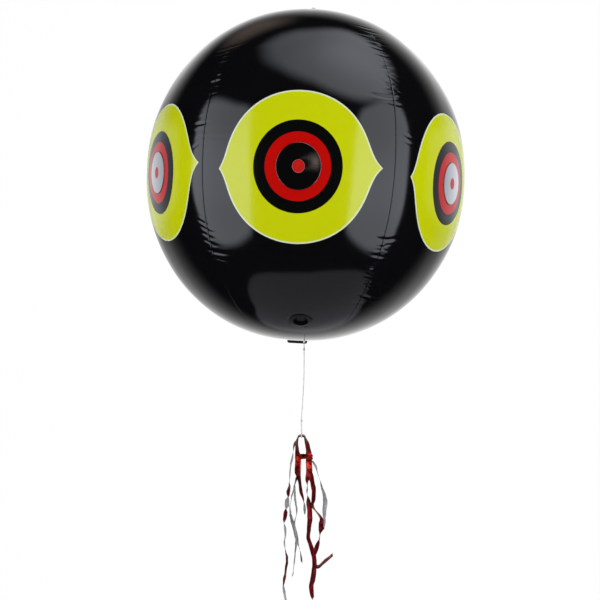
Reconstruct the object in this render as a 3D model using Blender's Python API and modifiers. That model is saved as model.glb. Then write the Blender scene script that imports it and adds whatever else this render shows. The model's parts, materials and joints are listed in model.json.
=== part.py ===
"""Bird scare balloon: a ball of six welded PVC panels, foil pupils, an inflation valve and a foil tassel.

Metres, +Z up. The origin is the centre of the hanging eye on top, the ball's axis is Z, and the panel
with the middle eye faces -Y. Longitude runs from that panel towards +X, latitude up from the equator.
"""
import math

import bmesh
import bpy
import numpy as np
from mathutils import Matrix, Vector

# Ball
EQUATOR_RADIUS = 0.200
HALF_HEIGHT = 0.206
FULLNESS = 2.2
FLAT_SHARE = 0.02
PANELS = 6
FILM = 0.0003
SEAM_GAP = 0.0003
WELD_FLANGE = 0.003
PUCKER_DEPTH = 0.0012
TIP_RADIUS = 0.0105
POLE_SINK = 0.0015
POLE_SINK_REACH = 0.032
PANEL_ROWS = 36
COLUMN_SHARES = (-1.0, -0.87, -0.6, -0.2, 0.2, 0.6, 0.87, 1.0)
PUCKER_SHARES = (1.0, 0.3, 0.0, 0.0, 0.0, 0.0, 0.3, 1.0)

# Clearance between two pieces that touch
GAP = 0.0003

# Foil pupils
PUPIL_RADIUS = 0.0232
PUPIL_FOIL = 0.0002
EYE_DROP = 0.0118

# Pole patches and tabs
PATCH_RADIUS = 0.014
PATCH_SHEET = 0.0005
FOOT_LENGTH = 0.025
FOOT_WIDTH = 0.007
FOOT_SHEET = 0.0004
TAB_SHEET = 0.0008
TAB_WIDTH = 0.026
TAB_HEIGHT = 0.0039
TAB_CORNER = 0.0025
STRING_HOLE_RADIUS = 0.0013
STRING_HOLE_OFFSET = 0.009
STRING_HOLE_DEPTH = 0.0019
HANG_TAB_WIDTH = 0.014
HANG_EYE_RADIUS = 0.0036
HANG_EYE_HEIGHT = 0.009

# Inflation valve, in the front panel near the bottom
VALVE_LONGITUDE = math.radians(4.0)
VALVE_LATITUDE = math.radians(-54.8)
VALVE_RIM_RADIUS = 0.013
VALVE_WELL_RADIUS = 0.0095
VALVE_WELL_DEPTH = 0.005
VALVE_WALL = 0.0008
VALVE_HOLE_CLEARANCE = 0.0005
COLLAR_LENGTH = 0.008
STEM_RADIUS = 0.005
STEM_BORE_RADIUS = 0.0033
STEM_LENGTH = 0.016
STEM_RIM_RADIUS = 0.0066
STEM_RIM = 0.0012
PLUG_LENGTH = 0.008
PLUG_HEAD_RADIUS = 0.0052
PLUG_HEAD = 0.0013
STRAP_THICKNESS = 0.0008
STRAP_RADIUS = 0.0072
FLAP_RADIUS = 0.0042
FLAP_SHEET = 0.0003

# String
STRING_RADIUS = 0.0007
TAIL_LEAN = math.radians(2.8)
TAB_LOOP_DROP = 0.0095
TAB_LOOP_HALF_WIDTH = 0.0034
KNOT_RADIUS = 0.0017
KNOT_HALF_LENGTH = 0.0019
KNOT_TURN_DEPTH_SHARE = 0.16
END_KNOT_DROP = 0.1029
END_KNOT_SIDE = -0.0033
END_LOOP_DROP = 0.0215
END_LOOP_HALF_WIDTH = 0.0054
STRING_STEP_DIAMETERS = 2.4

# Route of the string from the tab's knot to its lower knot: sideways, and up from the string hole
STRING_ROUTE = (
    (0.0, -0.0117), (0.0, -0.0171), (0.0, -0.0232), (0.0, -0.0294), (-0.0001, -0.0355),
    (-0.0001, -0.0416), (-0.0003, -0.0478), (-0.0005, -0.0539), (-0.0008, -0.0600), (-0.0011, -0.0662),
    (-0.0014, -0.0723), (-0.0018, -0.0784), (-0.0022, -0.0846), (-0.0027, -0.0907), (-0.0032, -0.0958),
    (-0.0033, -0.1007),
)

# Tassel: ribbons folded over the end loop, measured from the middle of the loop's lowest stretch
RIBBON_WIDTH = 0.008
RIBBON_FOIL = 0.00025
RIBBON_PITCH = 0.0006
ARCH_RADIUS = 0.00115
TASSEL_DROP = 0.2
TASSEL_REACH = 0.04
RIBBON_STEP = 0.0085
BAND_TOP = 0.0235
BAND_HEIGHT = 0.0055
BAND_FOIL = 0.0003
BAND_SIDE = 0.0032
BAND_HALF_WIDTH = 0.0112
BAND_HALF_DEPTH = 0.0052

# The two legs of the fold, as shares of the reach (sideways) and of the drop (down), with the part of a
# quarter turn that the whole pack of ribbons has made there
LEFT_LEG_SHARES = (
    (-0.13, -0.045, 0.0), (-0.12, -0.09, 0.0), (-0.11, -0.135, 0.0), (-0.11, -0.165, 0.4),
    (-0.12, -0.20, 0.8), (-0.12, -0.23, 1.0),
)
RIGHT_LEG_SHARES = (
    (0.14, -0.045, 0.0), (0.21, -0.09, 0.0), (0.23, -0.135, 0.0), (0.24, -0.165, 0.4),
    (0.25, -0.20, 0.8), (0.25, -0.23, 1.0),
)
PACKED_LEFT_SHARES = (1.0, 1.0, 1.0, 0.0)
PACKED_RIGHT_SHARES = (1.0, 1.0, 1.0, 0.5)

# The free tails: side (share of the reach), down (share of the drop), front (share of the reach), turn
LEFT_TAIL_SHARES = (
    ((-0.15, -0.27, 0.05, 1.0), (-0.24, -0.33, 0.14, 1.0), (-0.34, -0.41, 0.28, 1.1),
     (-0.40, -0.50, 0.36, 0.7), (-0.34, -0.57, 0.36, 0.6), (-0.27, -0.61, 0.36, 1.0),
     (-0.19, -0.68, 0.36, 1.2), (-0.13, -0.73, 0.36, 0.9), (-0.06, -0.78, 0.36, 0.5),
     (0.00, -0.86, 0.36, 0.9)),
    ((-0.17, -0.26, 0.00, 1.0), (-0.24, -0.31, 0.02, 1.0), (-0.26, -0.35, 0.05, 1.0),
     (-0.23, -0.41, 0.11, 0.8), (-0.17, -0.48, 0.12, 0.4), (-0.17, -0.52, 0.12, 0.3),
     (-0.23, -0.57, 0.12, 0.6), (-0.20, -0.64, 0.12, 0.3), (-0.18, -0.70, 0.12, 0.4),
     (-0.22, -0.78, 0.12, 0.8), (-0.24, -0.85, 0.12, 0.5), (-0.29, -0.93, 0.12, 0.9)),
    ((-0.09, -0.26, -0.05, 1.0), (-0.04, -0.31, -0.07, 1.0), (0.00, -0.36, -0.09, 1.0),
     (0.06, -0.40, -0.09, 1.0), (0.10, -0.45, -0.09, 1.0), (0.11, -0.50, -0.09, 1.0)),
    ((-0.17, -0.025, 0.00, 0.0), (-0.24, -0.055, -0.02, 0.1), (-0.29, -0.12, -0.06, 0.1),
     (-0.33, -0.17, -0.12, 0.2), (-0.36, -0.25, -0.24, 0.3), (-0.38, -0.32, -0.32, 0.4),
     (-0.46, -0.37, -0.36, 0.8), (-0.44, -0.41, -0.36, 1.1), (-0.46, -0.47, -0.36, 0.9),
     (-0.56, -0.54, -0.36, 0.6), (-0.51, -0.58, -0.36, 0.9), (-0.50, -0.61, -0.36, 1.1),
     (-0.55, -0.67, -0.36, 0.8), (-0.47, -0.75, -0.36, 0.6), (-0.45, -0.78, -0.36, 0.8),
     (-0.50, -0.87, -0.36, 1.0), (-0.55, -0.93, -0.36, 0.7), (-0.56, -0.97, -0.36, 0.5),
     (-0.48, -1.06, -0.36, 0.4)),
)
RIGHT_TAIL_SHARES = (
    ((0.24, -0.26, 0.03, 1.0), (0.22, -0.29, 0.06, 1.0)),
    ((0.31, -0.26, 0.00, 1.0), (0.37, -0.31, 0.02, 1.0), (0.40, -0.36, 0.06, 0.9),
     (0.39, -0.42, 0.12, 0.8), (0.35, -0.455, 0.14, 0.6), (0.45, -0.49, 0.14, 0.4),
     (0.59, -0.535, 0.14, 0.7), (0.60, -0.595, 0.14, 1.2), (0.58, -0.66, 0.14, 0.6),
     (0.49, -0.745, 0.14, 0.8), (0.43, -0.82, 0.14, 0.5), (0.46, -0.86, 0.14, 0.2),
     (0.58, -0.865, 0.14, 0.2), (0.72, -0.84, 0.14, 0.4), (0.86, -0.815, 0.14, 0.5),
     (1.04, -0.785, 0.14, 0.6)),
    ((0.20, -0.27, -0.05, 1.0), (0.20, -0.32, -0.09, 0.9), (0.19, -0.37, -0.14, 1.0),
     (0.23, -0.42, -0.15, 1.0), (0.27, -0.47, -0.15, 1.0), (0.28, -0.54, -0.15, 0.8),
     (0.25, -0.60, -0.15, 0.6), (0.24, -0.66, -0.15, 0.8), (0.37, -0.745, -0.15, 1.1),
     (0.42, -0.785, -0.15, 1.2), (0.43, -0.85, -0.15, 0.9), (0.38, -0.93, -0.15, 0.7),
     (0.33, -0.97, -0.15, 0.9), (0.35, -1.025, -0.15, 1.1), (0.39, -1.055, -0.15, 1.0)),
    ((0.32, -0.152, -0.01, 0.0), (0.46, -0.185, -0.06, 0.1), (0.52, -0.22, -0.10, 0.3),
     (0.59, -0.265, -0.16, 0.4), (0.66, -0.306, -0.22, 0.5), (0.75, -0.36, -0.28, 0.7),
     (0.78, -0.41, -0.30, 0.9), (0.75, -0.476, -0.30, 1.1), (0.76, -0.535, -0.30, 0.7),
     (0.74, -0.58, -0.30, 0.5)),
)

# Round shapes
TURN_STEPS = 24
FINE_TURN_STEPS = 32
PUPIL_SEGMENTS = 24
CORNER_STEPS = 6
SHARP_ANGLE = math.radians(35)
CUT_OVERRUN = 0.002

# Heights that follow from the sizes above
BALL_TOP = -(HANG_EYE_HEIGHT + FOOT_SHEET + GAP + PATCH_SHEET + GAP)
BALL_CENTRE = BALL_TOP + POLE_SINK - HALF_HEIGHT
BALL_BOTTOM = BALL_CENTRE + POLE_SINK - HALF_HEIGHT
TAB_ROOT = BALL_BOTTOM - (GAP + PATCH_SHEET + GAP + FOOT_SHEET)

PVC_BLACK = (0.006, 0.006, 0.007)
PVC_CLEAR_BLACK = (0.012, 0.012, 0.014)
FOIL_SILVER = (0.72, 0.73, 0.75)
FOIL_RED = (0.42, 0.01, 0.012)
STRING_WHITE = (0.78, 0.78, 0.76)


def clear_scene():
    """Remove whatever the scene held."""
    for obj in list(bpy.data.objects):
        bpy.data.objects.remove(obj, do_unlink=True)


def new_collection(name):
    collection = bpy.data.collections.new(name)
    bpy.context.scene.collection.children.link(collection)
    return collection


def new_material(name, colour, roughness, metallic=0.0):
    material = bpy.data.materials.new(name)
    material.use_nodes = True
    shader = material.node_tree.nodes["Principled BSDF"]
    shader.inputs["Base Color"].default_value = (*colour, 1.0)
    shader.inputs["Roughness"].default_value = roughness
    shader.inputs["Metallic"].default_value = metallic
    return material


def add_object(name, data, collection, material=None, parent=None):
    """Link an object that holds this mesh, curve or nothing, and give it its material and parent."""
    obj = bpy.data.objects.new(name, data)
    collection.objects.link(obj)
    obj.parent = parent
    if material is not None and not data.materials:
        data.materials.append(material)
    return obj


def add_empty(name, collection, place, turn=None, parent=None):
    empty = add_object(name, None, collection, parent=parent)
    turn = Matrix() if turn is None else turn
    empty.matrix_local = Matrix.Translation(place) @ turn.to_4x4()
    return empty


def shade(mesh):
    mesh.shade_smooth()
    mesh.set_sharp_from_angle(angle=SHARP_ANGLE)


def add_modifier(obj, kind, **settings):
    modifier = obj.modifiers.new(kind.title(), kind)
    for key, value in settings.items():
        setattr(modifier, key, value)
    return modifier


def turned(name, profile, collection, material, parent=None, steps=TURN_STEPS, closed=False):
    """Turn a profile of (radius, height) points about Z. It runs down the outer side, top to bottom."""
    mesh = bpy.data.meshes.new(name)
    edges = [(i, i + 1) for i in range(len(profile) - 1)]
    if closed:
        edges.append((len(profile) - 1, 0))
    mesh.from_pydata([(radius, 0.0, height) for radius, height in profile], edges, [])
    obj = add_object(name, mesh, collection, material, parent)
    add_modifier(
        obj, "SCREW", axis="Z", angle=math.tau, steps=steps, render_steps=steps,
        use_merge_vertices=True, merge_threshold=1e-6, use_smooth_shade=True,
    )
    return obj


def curve_to_mesh(curve_obj):
    """Replace a curve object by a mesh object with its caps welded on."""
    graph = bpy.context.evaluated_depsgraph_get()
    mesh = bpy.data.meshes.new_from_object(curve_obj.evaluated_get(graph))
    work = bmesh.new()
    work.from_mesh(mesh)
    bmesh.ops.remove_doubles(work, verts=work.verts, dist=1e-7)
    work.to_mesh(mesh)
    work.free()
    name, collection, parent = curve_obj.name, curve_obj.users_collection[0], curve_obj.parent
    local = curve_obj.matrix_local.copy()
    bpy.data.objects.remove(curve_obj, do_unlink=True)
    obj = add_object(name, mesh, collection, parent=parent)
    obj.matrix_local = local
    return obj


def flat_plate(name, outlines, thickness, collection, material=None, parent=None):
    """A flat sheet in the XY plane, centred on it, from closed outlines of (x, y) points."""
    curve = bpy.data.curves.new(name, "CURVE")
    curve.dimensions = "2D"
    curve.fill_mode = "BOTH"
    curve.extrude = thickness / 2
    for outline in outlines:
        spline = curve.splines.new("POLY")
        spline.points.add(len(outline) - 1)
        for point, (x, y) in zip(spline.points, outline):
            point.co = (x, y, 0.0, 1.0)
        spline.use_cyclic_u = True
    return add_object(name, curve, collection, material, parent)


def tube(name, points, radius, collection, material, parent=None):
    """A round cord along the points, with flat ends."""
    curve = bpy.data.curves.new(name, "CURVE")
    curve.dimensions = "3D"
    curve.bevel_depth = radius
    curve.bevel_resolution = 2
    curve.use_fill_caps = True
    spline = curve.splines.new("POLY")
    spline.points.add(len(points) - 1)
    for point, place in zip(spline.points, points):
        point.co = (*place, 1.0)
    return add_object(name, curve, collection, material, parent)


def smooth_path(points, step):
    """Points about one step apart on the Catmull-Rom curve through the given points."""
    points = np.asarray(points, float)
    ends = np.vstack([2 * points[0] - points[1], points, 2 * points[-1] - points[-2]])
    rows = []
    for before, start, end, after in zip(ends, ends[1:], ends[2:], ends[3:]):
        count = max(1, round(np.linalg.norm((end - start)[:3]) / step))
        t = (np.arange(count) / count)[:, None]
        rows.append(
            start + 0.5 * t * (end - before + t * (2 * before - 5 * start + 4 * end - after
                               + t * (3 * start - before - 3 * end + after)))
        )
    return np.vstack([*rows, points[-1:]])


def arc(centre, radius, start, stop, steps):
    """Points (x, y) on a circle, from one angle to another."""
    angles = np.linspace(start, stop, steps + 1)
    return [(centre[0] + radius * math.cos(a), centre[1] + radius * math.sin(a)) for a in angles]


def skin(longitude, latitude):
    """Places on the ball, from its centre.

    The meridian is a superellipse, panel middles lie flatter, and the welds draw both poles in a little.
    """
    side, rise = np.cos(latitude), np.sin(latitude)
    full = (np.abs(side) ** FULLNESS + np.abs(rise) ** FULLNESS) ** (-1 / FULLNESS)
    flat = 1 - FLAT_SHARE / 2 * np.cos(PANELS * longitude) * side**2
    out = EQUATOR_RADIUS * side * full * flat
    sink = POLE_SINK * np.exp(-((out / POLE_SINK_REACH) ** 2))
    height = HALF_HEIGHT * rise * full - np.sign(rise) * sink
    return np.stack([out * np.sin(longitude), -out * np.cos(longitude), height], axis=-1)


def skin_normal(longitude, latitude, turn=1e-4):
    """Outward direction: the cross product of the two slopes of the surface."""
    east = skin(longitude + turn, latitude) - skin(longitude - turn, latitude)
    north = skin(longitude, latitude + turn) - skin(longitude, latitude - turn)
    normal = np.cross(east, north)
    return normal / np.linalg.norm(normal, axis=-1, keepdims=True)


def panel_mesh():
    """The front panel as an open sheet: a grid bent onto the ball, with a weld flange turned in along each
    seam, and every second row of the seam drawn in as a pucker."""
    columns = len(COLUMN_SHARES) + 1
    sheet = bmesh.new()
    bmesh.ops.create_grid(sheet, x_segments=columns, y_segments=PANEL_ROWS, size=1)
    tip = math.acos(TIP_RADIUS / EQUATOR_RADIUS)
    half_angle = math.pi / PANELS
    for vert in sheet.verts:
        column = round((vert.co.x + 1) / 2 * columns)
        row = round((vert.co.y + 1) / 2 * PANEL_ROWS)
        inner = min(max(column - 1, 0), len(COLUMN_SHARES) - 1)
        share = COLUMN_SHARES[inner]
        longitude = share * half_angle
        latitude = tip * (2 * row / PANEL_ROWS - 1)
        place = skin(longitude, latitude)
        outward = skin_normal(half_angle, latitude)
        depth = PUCKER_DEPTH * PUCKER_SHARES[inner] * (row % 2) * math.cos(latitude)
        if column in (0, columns):
            depth += WELD_FLANGE
        level = Vector((math.sin(longitude), -math.cos(longitude), 0.0)) * math.hypot(*outward[:2])
        inward = -(level + Vector((0.0, 0.0, outward[2])))
        along = Vector((math.cos(longitude), math.sin(longitude), 0.0))
        vert.co = Vector(place) + inward * depth - along * share * SEAM_GAP / 2
    mesh = bpy.data.meshes.new("panel")
    sheet.to_mesh(mesh)
    sheet.free()
    shade(mesh)
    return mesh


def make_panels(parts, material, valve_axis, cutters):
    """Six panels round the axis. The front one has the hole that the valve is welded into."""
    mesh = panel_mesh()
    for index in range(PANELS):
        panel = add_object(f"panel_{index + 1}", mesh, parts, material)
        panel.location = (0.0, 0.0, BALL_CENTRE)
        panel.rotation_euler.z = index * math.tau / PANELS
        add_modifier(panel, "SOLIDIFY", thickness=FILM, offset=-1.0, use_even_offset=True)
        if index == 0:
            hole = turned(
                "valve_hole_cutter",
                ((0.0, CUT_OVERRUN), (VALVE_WELL_RADIUS + VALVE_HOLE_CLEARANCE, CUT_OVERRUN),
                 (VALVE_WELL_RADIUS + VALVE_HOLE_CLEARANCE, -CUT_OVERRUN), (0.0, -CUT_OVERRUN)),
                cutters, None, valve_axis,
            )
            add_modifier(panel, "BOOLEAN", operation="DIFFERENCE", solver="EXACT", object=hole)


def make_pupils(parts, material):
    """A round foil sticker bent onto each panel, in the middle of its eye."""
    disc = bmesh.new()
    spokes = [disc.verts.new((PUPIL_RADIUS * share, 0.0, 0.0)) for share in (0.0, 0.5, 1.0)]
    edges = [disc.edges.new(pair) for pair in zip(spokes, spokes[1:])]
    bmesh.ops.spin(
        disc, geom=spokes + edges, cent=(0, 0, 0), axis=(0, 0, 1), angle=math.tau, steps=PUPIL_SEGMENTS
    )
    bmesh.ops.remove_doubles(disc, verts=disc.verts, dist=PUPIL_FOIL / 10)
    for vert in disc.verts:
        longitude = vert.co.x / EQUATOR_RADIUS
        latitude = (vert.co.y - EYE_DROP) / EQUATOR_RADIUS
        vert.co = Vector(skin(longitude, latitude) + skin_normal(longitude, latitude) * GAP)
    disc.normal_update()
    if disc.faces[:][0].normal.y > 0:
        bmesh.ops.reverse_faces(disc, faces=disc.faces)
    mesh = bpy.data.meshes.new("pupil")
    disc.to_mesh(mesh)
    disc.free()
    shade(mesh)
    for index in range(PANELS):
        pupil = add_object(f"pupil_{index + 1}", mesh, parts, material)
        pupil.location = (0.0, 0.0, BALL_CENTRE)
        pupil.rotation_euler.z = index * math.tau / PANELS
        add_modifier(pupil, "SOLIDIFY", thickness=PUPIL_FOIL, offset=1.0)


def make_patch(name, upward, parts, material):
    """A round patch that lies over the panel tips at a pole and follows the ball."""
    radii = PATCH_RADIUS * np.array((0.0, 0.5, 1.0))
    latitude = np.arccos(radii / EQUATOR_RADIUS)
    under = skin(0.0, latitude)[:, 2] + GAP
    profile = list(zip(radii, under + PATCH_SHEET)) + list(zip(radii, under))[::-1]
    patch = turned(name, profile, parts, material, steps=FINE_TURN_STEPS)
    patch.location.z = BALL_CENTRE
    if not upward:
        patch.rotation_euler.x = math.pi
    return patch


def make_tab(name, outlines, root, upward, parts, cutters, material):
    """A tab that stands on a patch: an upright sheet in the XZ plane, joined to a flat foot."""
    fin = curve_to_mesh(flat_plate(name, outlines, TAB_SHEET, parts))
    fin.data.transform(Matrix.Rotation(math.radians(90), 4, "X"))
    fin.data.materials.append(material)
    fin.location.z = root
    half = (FOOT_LENGTH - FOOT_WIDTH) / 2
    ring = arc((half, 0.0), FOOT_WIDTH / 2, -math.pi / 2, math.pi / 2, CORNER_STEPS)
    ring += arc((-half, 0.0), FOOT_WIDTH / 2, math.pi / 2, math.pi * 1.5, CORNER_STEPS)
    foot = curve_to_mesh(flat_plate(f"{name}_foot", [ring], FOOT_SHEET, cutters))
    foot.location.z = root - FOOT_SHEET / 2 if upward else root + FOOT_SHEET / 2
    add_modifier(fin, "BOOLEAN", operation="UNION", solver="EXACT", object=foot)
    return fin


def make_bottom_tab(parts, cutters, material):
    """A low fin across the pole, with rounded lower corners and the hole for the string."""
    half, low = TAB_WIDTH / 2, -TAB_HEIGHT
    outline = [(half, FOOT_SHEET / 2), (-half, FOOT_SHEET / 2)]
    outline += arc((TAB_CORNER - half, low + TAB_CORNER), TAB_CORNER, math.pi, math.pi * 1.5, CORNER_STEPS)
    outline += arc((half - TAB_CORNER, low + TAB_CORNER), TAB_CORNER, -math.pi / 2, 0.0, CORNER_STEPS)
    hole = arc((STRING_HOLE_OFFSET, -STRING_HOLE_DEPTH), STRING_HOLE_RADIUS, 0.0, -math.tau, TURN_STEPS)[:-1]
    return make_tab("bottom_tab", [outline, hole], TAB_ROOT, False, parts, cutters, material)


def make_hang_tab(parts, cutters, material):
    """A tongue with a round end and the hanging eye, whose centre is the origin."""
    half = HANG_TAB_WIDTH / 2
    outline = [(-half, -FOOT_SHEET / 2), (half, -FOOT_SHEET / 2)]
    outline += arc((0.0, HANG_EYE_HEIGHT), half, 0.0, math.pi, 2 * CORNER_STEPS)
    eye = arc((0.0, HANG_EYE_HEIGHT), HANG_EYE_RADIUS, 0.0, -math.tau, TURN_STEPS)[:-1]
    return make_tab("hang_tab", [outline, eye], -HANG_EYE_HEIGHT, True, parts, cutters, material)


def valve_place():
    """Where the valve sits on the ball, and the turn that points its Z axis out of the ball."""
    place = skin(VALVE_LONGITUDE, VALVE_LATITUDE) + np.array((0.0, 0.0, BALL_CENTRE))
    outward = Vector(skin_normal(VALVE_LONGITUDE, VALVE_LATITUDE))
    level = Vector((math.cos(VALVE_LONGITUDE), math.sin(VALVE_LONGITUDE), 0.0))
    upper = outward.cross(level).normalized()
    turn = Matrix((upper.cross(outward), upper, outward)).transposed()
    return Vector(place), turn


def make_valve(parts, soft, axis):
    """The pushed-in valve: a seat with a well, a stem that slides in its collar, plug, strap and flap."""
    edge_drop = VALVE_RIM_RADIUS**2 / (2 * EQUATOR_RADIUS)
    rim = GAP - edge_drop
    collar = STEM_RADIUS + GAP
    floor = -VALVE_WELL_DEPTH
    seat = (
        (VALVE_RIM_RADIUS, rim + VALVE_WALL / 2), (VALVE_RIM_RADIUS, rim),
        (VALVE_WELL_RADIUS, GAP), (VALVE_WELL_RADIUS, floor - VALVE_WALL),
        (collar + VALVE_WALL, floor - VALVE_WALL), (collar + VALVE_WALL, floor - COLLAR_LENGTH),
        (collar, floor - COLLAR_LENGTH), (collar, floor),
        (VALVE_WELL_RADIUS - VALVE_WALL, floor), (VALVE_WELL_RADIUS - VALVE_WALL, GAP + VALVE_WALL),
    )
    turned("valve_seat", seat, parts, soft, axis, closed=True)

    stem_top = floor + GAP + STEM_RIM
    stem_end = stem_top - STEM_LENGTH
    stem = (
        (STEM_RIM_RADIUS, stem_top), (STEM_RIM_RADIUS, floor + GAP), (STEM_RADIUS, floor + GAP),
        (STEM_RADIUS, stem_end), (STEM_BORE_RADIUS, stem_end), (STEM_BORE_RADIUS, stem_top),
    )
    turned("valve_stem", stem, parts, soft, axis, closed=True)

    head = stem_top + GAP
    shaft = STEM_BORE_RADIUS - GAP
    plug = (
        (0.0, head + PLUG_HEAD), (PLUG_HEAD_RADIUS - PLUG_HEAD / 2, head + PLUG_HEAD),
        (PLUG_HEAD_RADIUS, head + PLUG_HEAD / 2), (PLUG_HEAD_RADIUS, head), (shaft, head),
        (shaft, head + shaft - PLUG_LENGTH), (shaft / 2, head - PLUG_LENGTH), (0.0, head - PLUG_LENGTH),
    )
    turned("valve_plug", plug, parts, soft, axis)

    ring = arc((0.0, 0.0), STRAP_RADIUS, math.radians(-75), math.radians(75), 2 * CORNER_STEPS)
    inner = STRAP_RADIUS - STRAP_THICKNESS
    ring += arc((0.0, 0.0), inner, math.radians(75), math.radians(-75), 2 * CORNER_STEPS)
    strap = flat_plate("valve_strap", [ring], STRAP_THICKNESS, parts, soft, axis)
    strap.location.z = stem_top + GAP + STRAP_THICKNESS / 2

    hinge = Vector((-FLAP_RADIUS, 0.0, stem_end - GAP))
    flap_axis = add_empty("valve_flap_hinge", parts, hinge, parent=axis)
    flap = turned(
        "valve_flap",
        ((0.0, 0.0), (FLAP_RADIUS, 0.0), (FLAP_RADIUS, -FLAP_SHEET), (0.0, -FLAP_SHEET)),
        parts, soft, flap_axis,
    )
    flap.location.x = FLAP_RADIUS


def make_knot(name, parts, material, parent):
    """A small wound knot: a rounded barrel with three turns, centred on its parent."""
    heights = np.linspace(1.0, -1.0, 13)
    waves = 1 - KNOT_TURN_DEPTH_SHARE * (1 - np.abs(np.cos(1.5 * math.pi * heights)))
    radii = KNOT_RADIUS * np.sqrt(1 - heights**2) * waves
    return turned(name, list(zip(radii, KNOT_HALF_LENGTH * heights)), parts, material, parent, steps=12)


def loop_points(drop, half_width, straight):
    """A tied loop in the YZ plane, from one strand's end at the knot round to the other's.

    The knot is at the origin and the far side of the loop at this drop. The strands part from the knot,
    turn a round corner and run straight across."""
    start = math.copysign(KNOT_HALF_LENGTH + GAP, drop)
    apart = STRING_RADIUS + GAP / 2
    corner = half_width - straight
    side = 1 if drop > 0 else -1
    bend = [
        (0.0, straight + corner * math.sin(a), drop - side * corner * (1 - math.cos(a)))
        for a in np.linspace(math.radians(75), 0.0, 5)
    ]
    strand = [(0.0, apart, start), (0.0, 1.6 * apart, 1.7 * start)]
    half = smooth_path([*strand, bend[0]], 3 * STRING_RADIUS)[:-1].tolist() + bend
    middle = [(0.0, 0.0, drop)] if straight > STRING_RADIUS else []
    other = [(x, -y, z) for x, y, z in half[::-1]]
    return half + middle + (other if middle or straight else other[1:])


def make_string(parts, material):
    """The string and its two loops, on the pivots that it swings about. Returns the tassel's pivot."""
    lean = Matrix.Rotation(-TAIL_LEAN, 3, "Y")
    eyelet_place = Vector((STRING_HOLE_OFFSET, 0.0, TAB_ROOT - STRING_HOLE_DEPTH))
    eyelet = add_empty("eyelet_pivot", parts, eyelet_place, lean)
    knot = add_empty("tab_knot_pivot", parts, (0.0, 0.0, -TAB_LOOP_DROP), parent=eyelet)
    make_knot("tab_knot", parts, material, knot)
    tab_loop = loop_points(TAB_LOOP_DROP, TAB_LOOP_HALF_WIDTH, 0.0)
    tube("tab_loop", tab_loop, STRING_RADIUS, parts, material, knot)

    route = [(side, 0.0, height + TAB_LOOP_DROP) for side, height in STRING_ROUTE]
    step = STRING_STEP_DIAMETERS * 2 * STRING_RADIUS
    tube("tail_string", smooth_path(route, step), STRING_RADIUS, parts, material, knot)

    end_place = (END_KNOT_SIDE, 0.0, TAB_LOOP_DROP - END_KNOT_DROP)
    end = add_empty("end_knot_pivot", parts, end_place, parent=knot)
    make_knot("end_knot", parts, material, end)
    end_loop = loop_points(-END_LOOP_DROP, END_LOOP_HALF_WIDTH, RIBBON_WIDTH / 2)
    tube("end_loop", end_loop, STRING_RADIUS, parts, material, end)
    return add_empty("tassel_pivot", parts, (0.0, 0.0, -END_LOOP_DROP), parent=end)


def turned_pack(leg_shares, packed_share, lane, outward):
    """Places of one ribbon down a leg, where the pack of ribbons turns together about the leg's line.

    outward is 1 where the ribbon's path runs down and -1 where it runs up. packed_share is how much of
    the leg the ribbon keeps to before it leaves the pack."""
    shift = lane * RIBBON_PITCH
    rows = []
    for side, down, turn in leg_shares[:round(packed_share * len(leg_shares))]:
        angle = turn * math.pi / 2
        across = side * TASSEL_REACH + outward * shift * math.cos(angle)
        rows.append((across, -shift * math.sin(angle), down * TASSEL_DROP, turn))
    return rows


def tail(shares):
    """Places of a free tail, with its turn."""
    return [
        (side * TASSEL_REACH, front * TASSEL_REACH, down * TASSEL_DROP, turn)
        for side, down, front, turn in shares
    ]


def ribbon_path(lane):
    """One ribbon's line from its left end up over the end loop and down to its right end, with its turn."""
    radius = ARCH_RADIUS + lane * RIBBON_PITCH
    over = [(x, 0.0, z, 0.0) for x, z in arc((0.0, 0.0), radius, math.pi, 0.0, 6)]
    left = turned_pack(LEFT_LEG_SHARES, PACKED_LEFT_SHARES[lane], lane, -1) + tail(LEFT_TAIL_SHARES[lane])
    right = turned_pack(RIGHT_LEG_SHARES, PACKED_RIGHT_SHARES[lane], lane, 1) + tail(RIGHT_TAIL_SHARES[lane])
    low = smooth_path(left[::-1] + [over[0]], RIBBON_STEP)[:-1]
    high = smooth_path([over[-1]] + right, RIBBON_STEP)[1:]
    return np.vstack([low, over, high])


def ribbon_mesh(path):
    """An open strip along the path. Its width starts along Y and turns about the path by quarter turns."""
    places, turns = path[:, :3], path[:, 3] * math.pi / 2
    along = np.gradient(places, axis=0)
    along /= np.linalg.norm(along, axis=1, keepdims=True)
    across = np.array((0.0, 1.0, 0.0)) - along[:, 1:2] * along
    across /= np.linalg.norm(across, axis=1, keepdims=True)
    outward = np.cross(along, across)
    width = across * np.cos(turns)[:, None] + outward * np.sin(turns)[:, None]
    half = RIBBON_WIDTH / 2
    points = np.stack([places - half * width, places + half * width], axis=1).reshape(-1, 3)
    faces = [(2 * i, 2 * i + 1, 2 * i + 3, 2 * i + 2) for i in range(len(places) - 1)]
    mesh = bpy.data.meshes.new("ribbon")
    mesh.from_pydata(points.tolist(), [], faces)
    mesh.shade_smooth()
    return mesh


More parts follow.
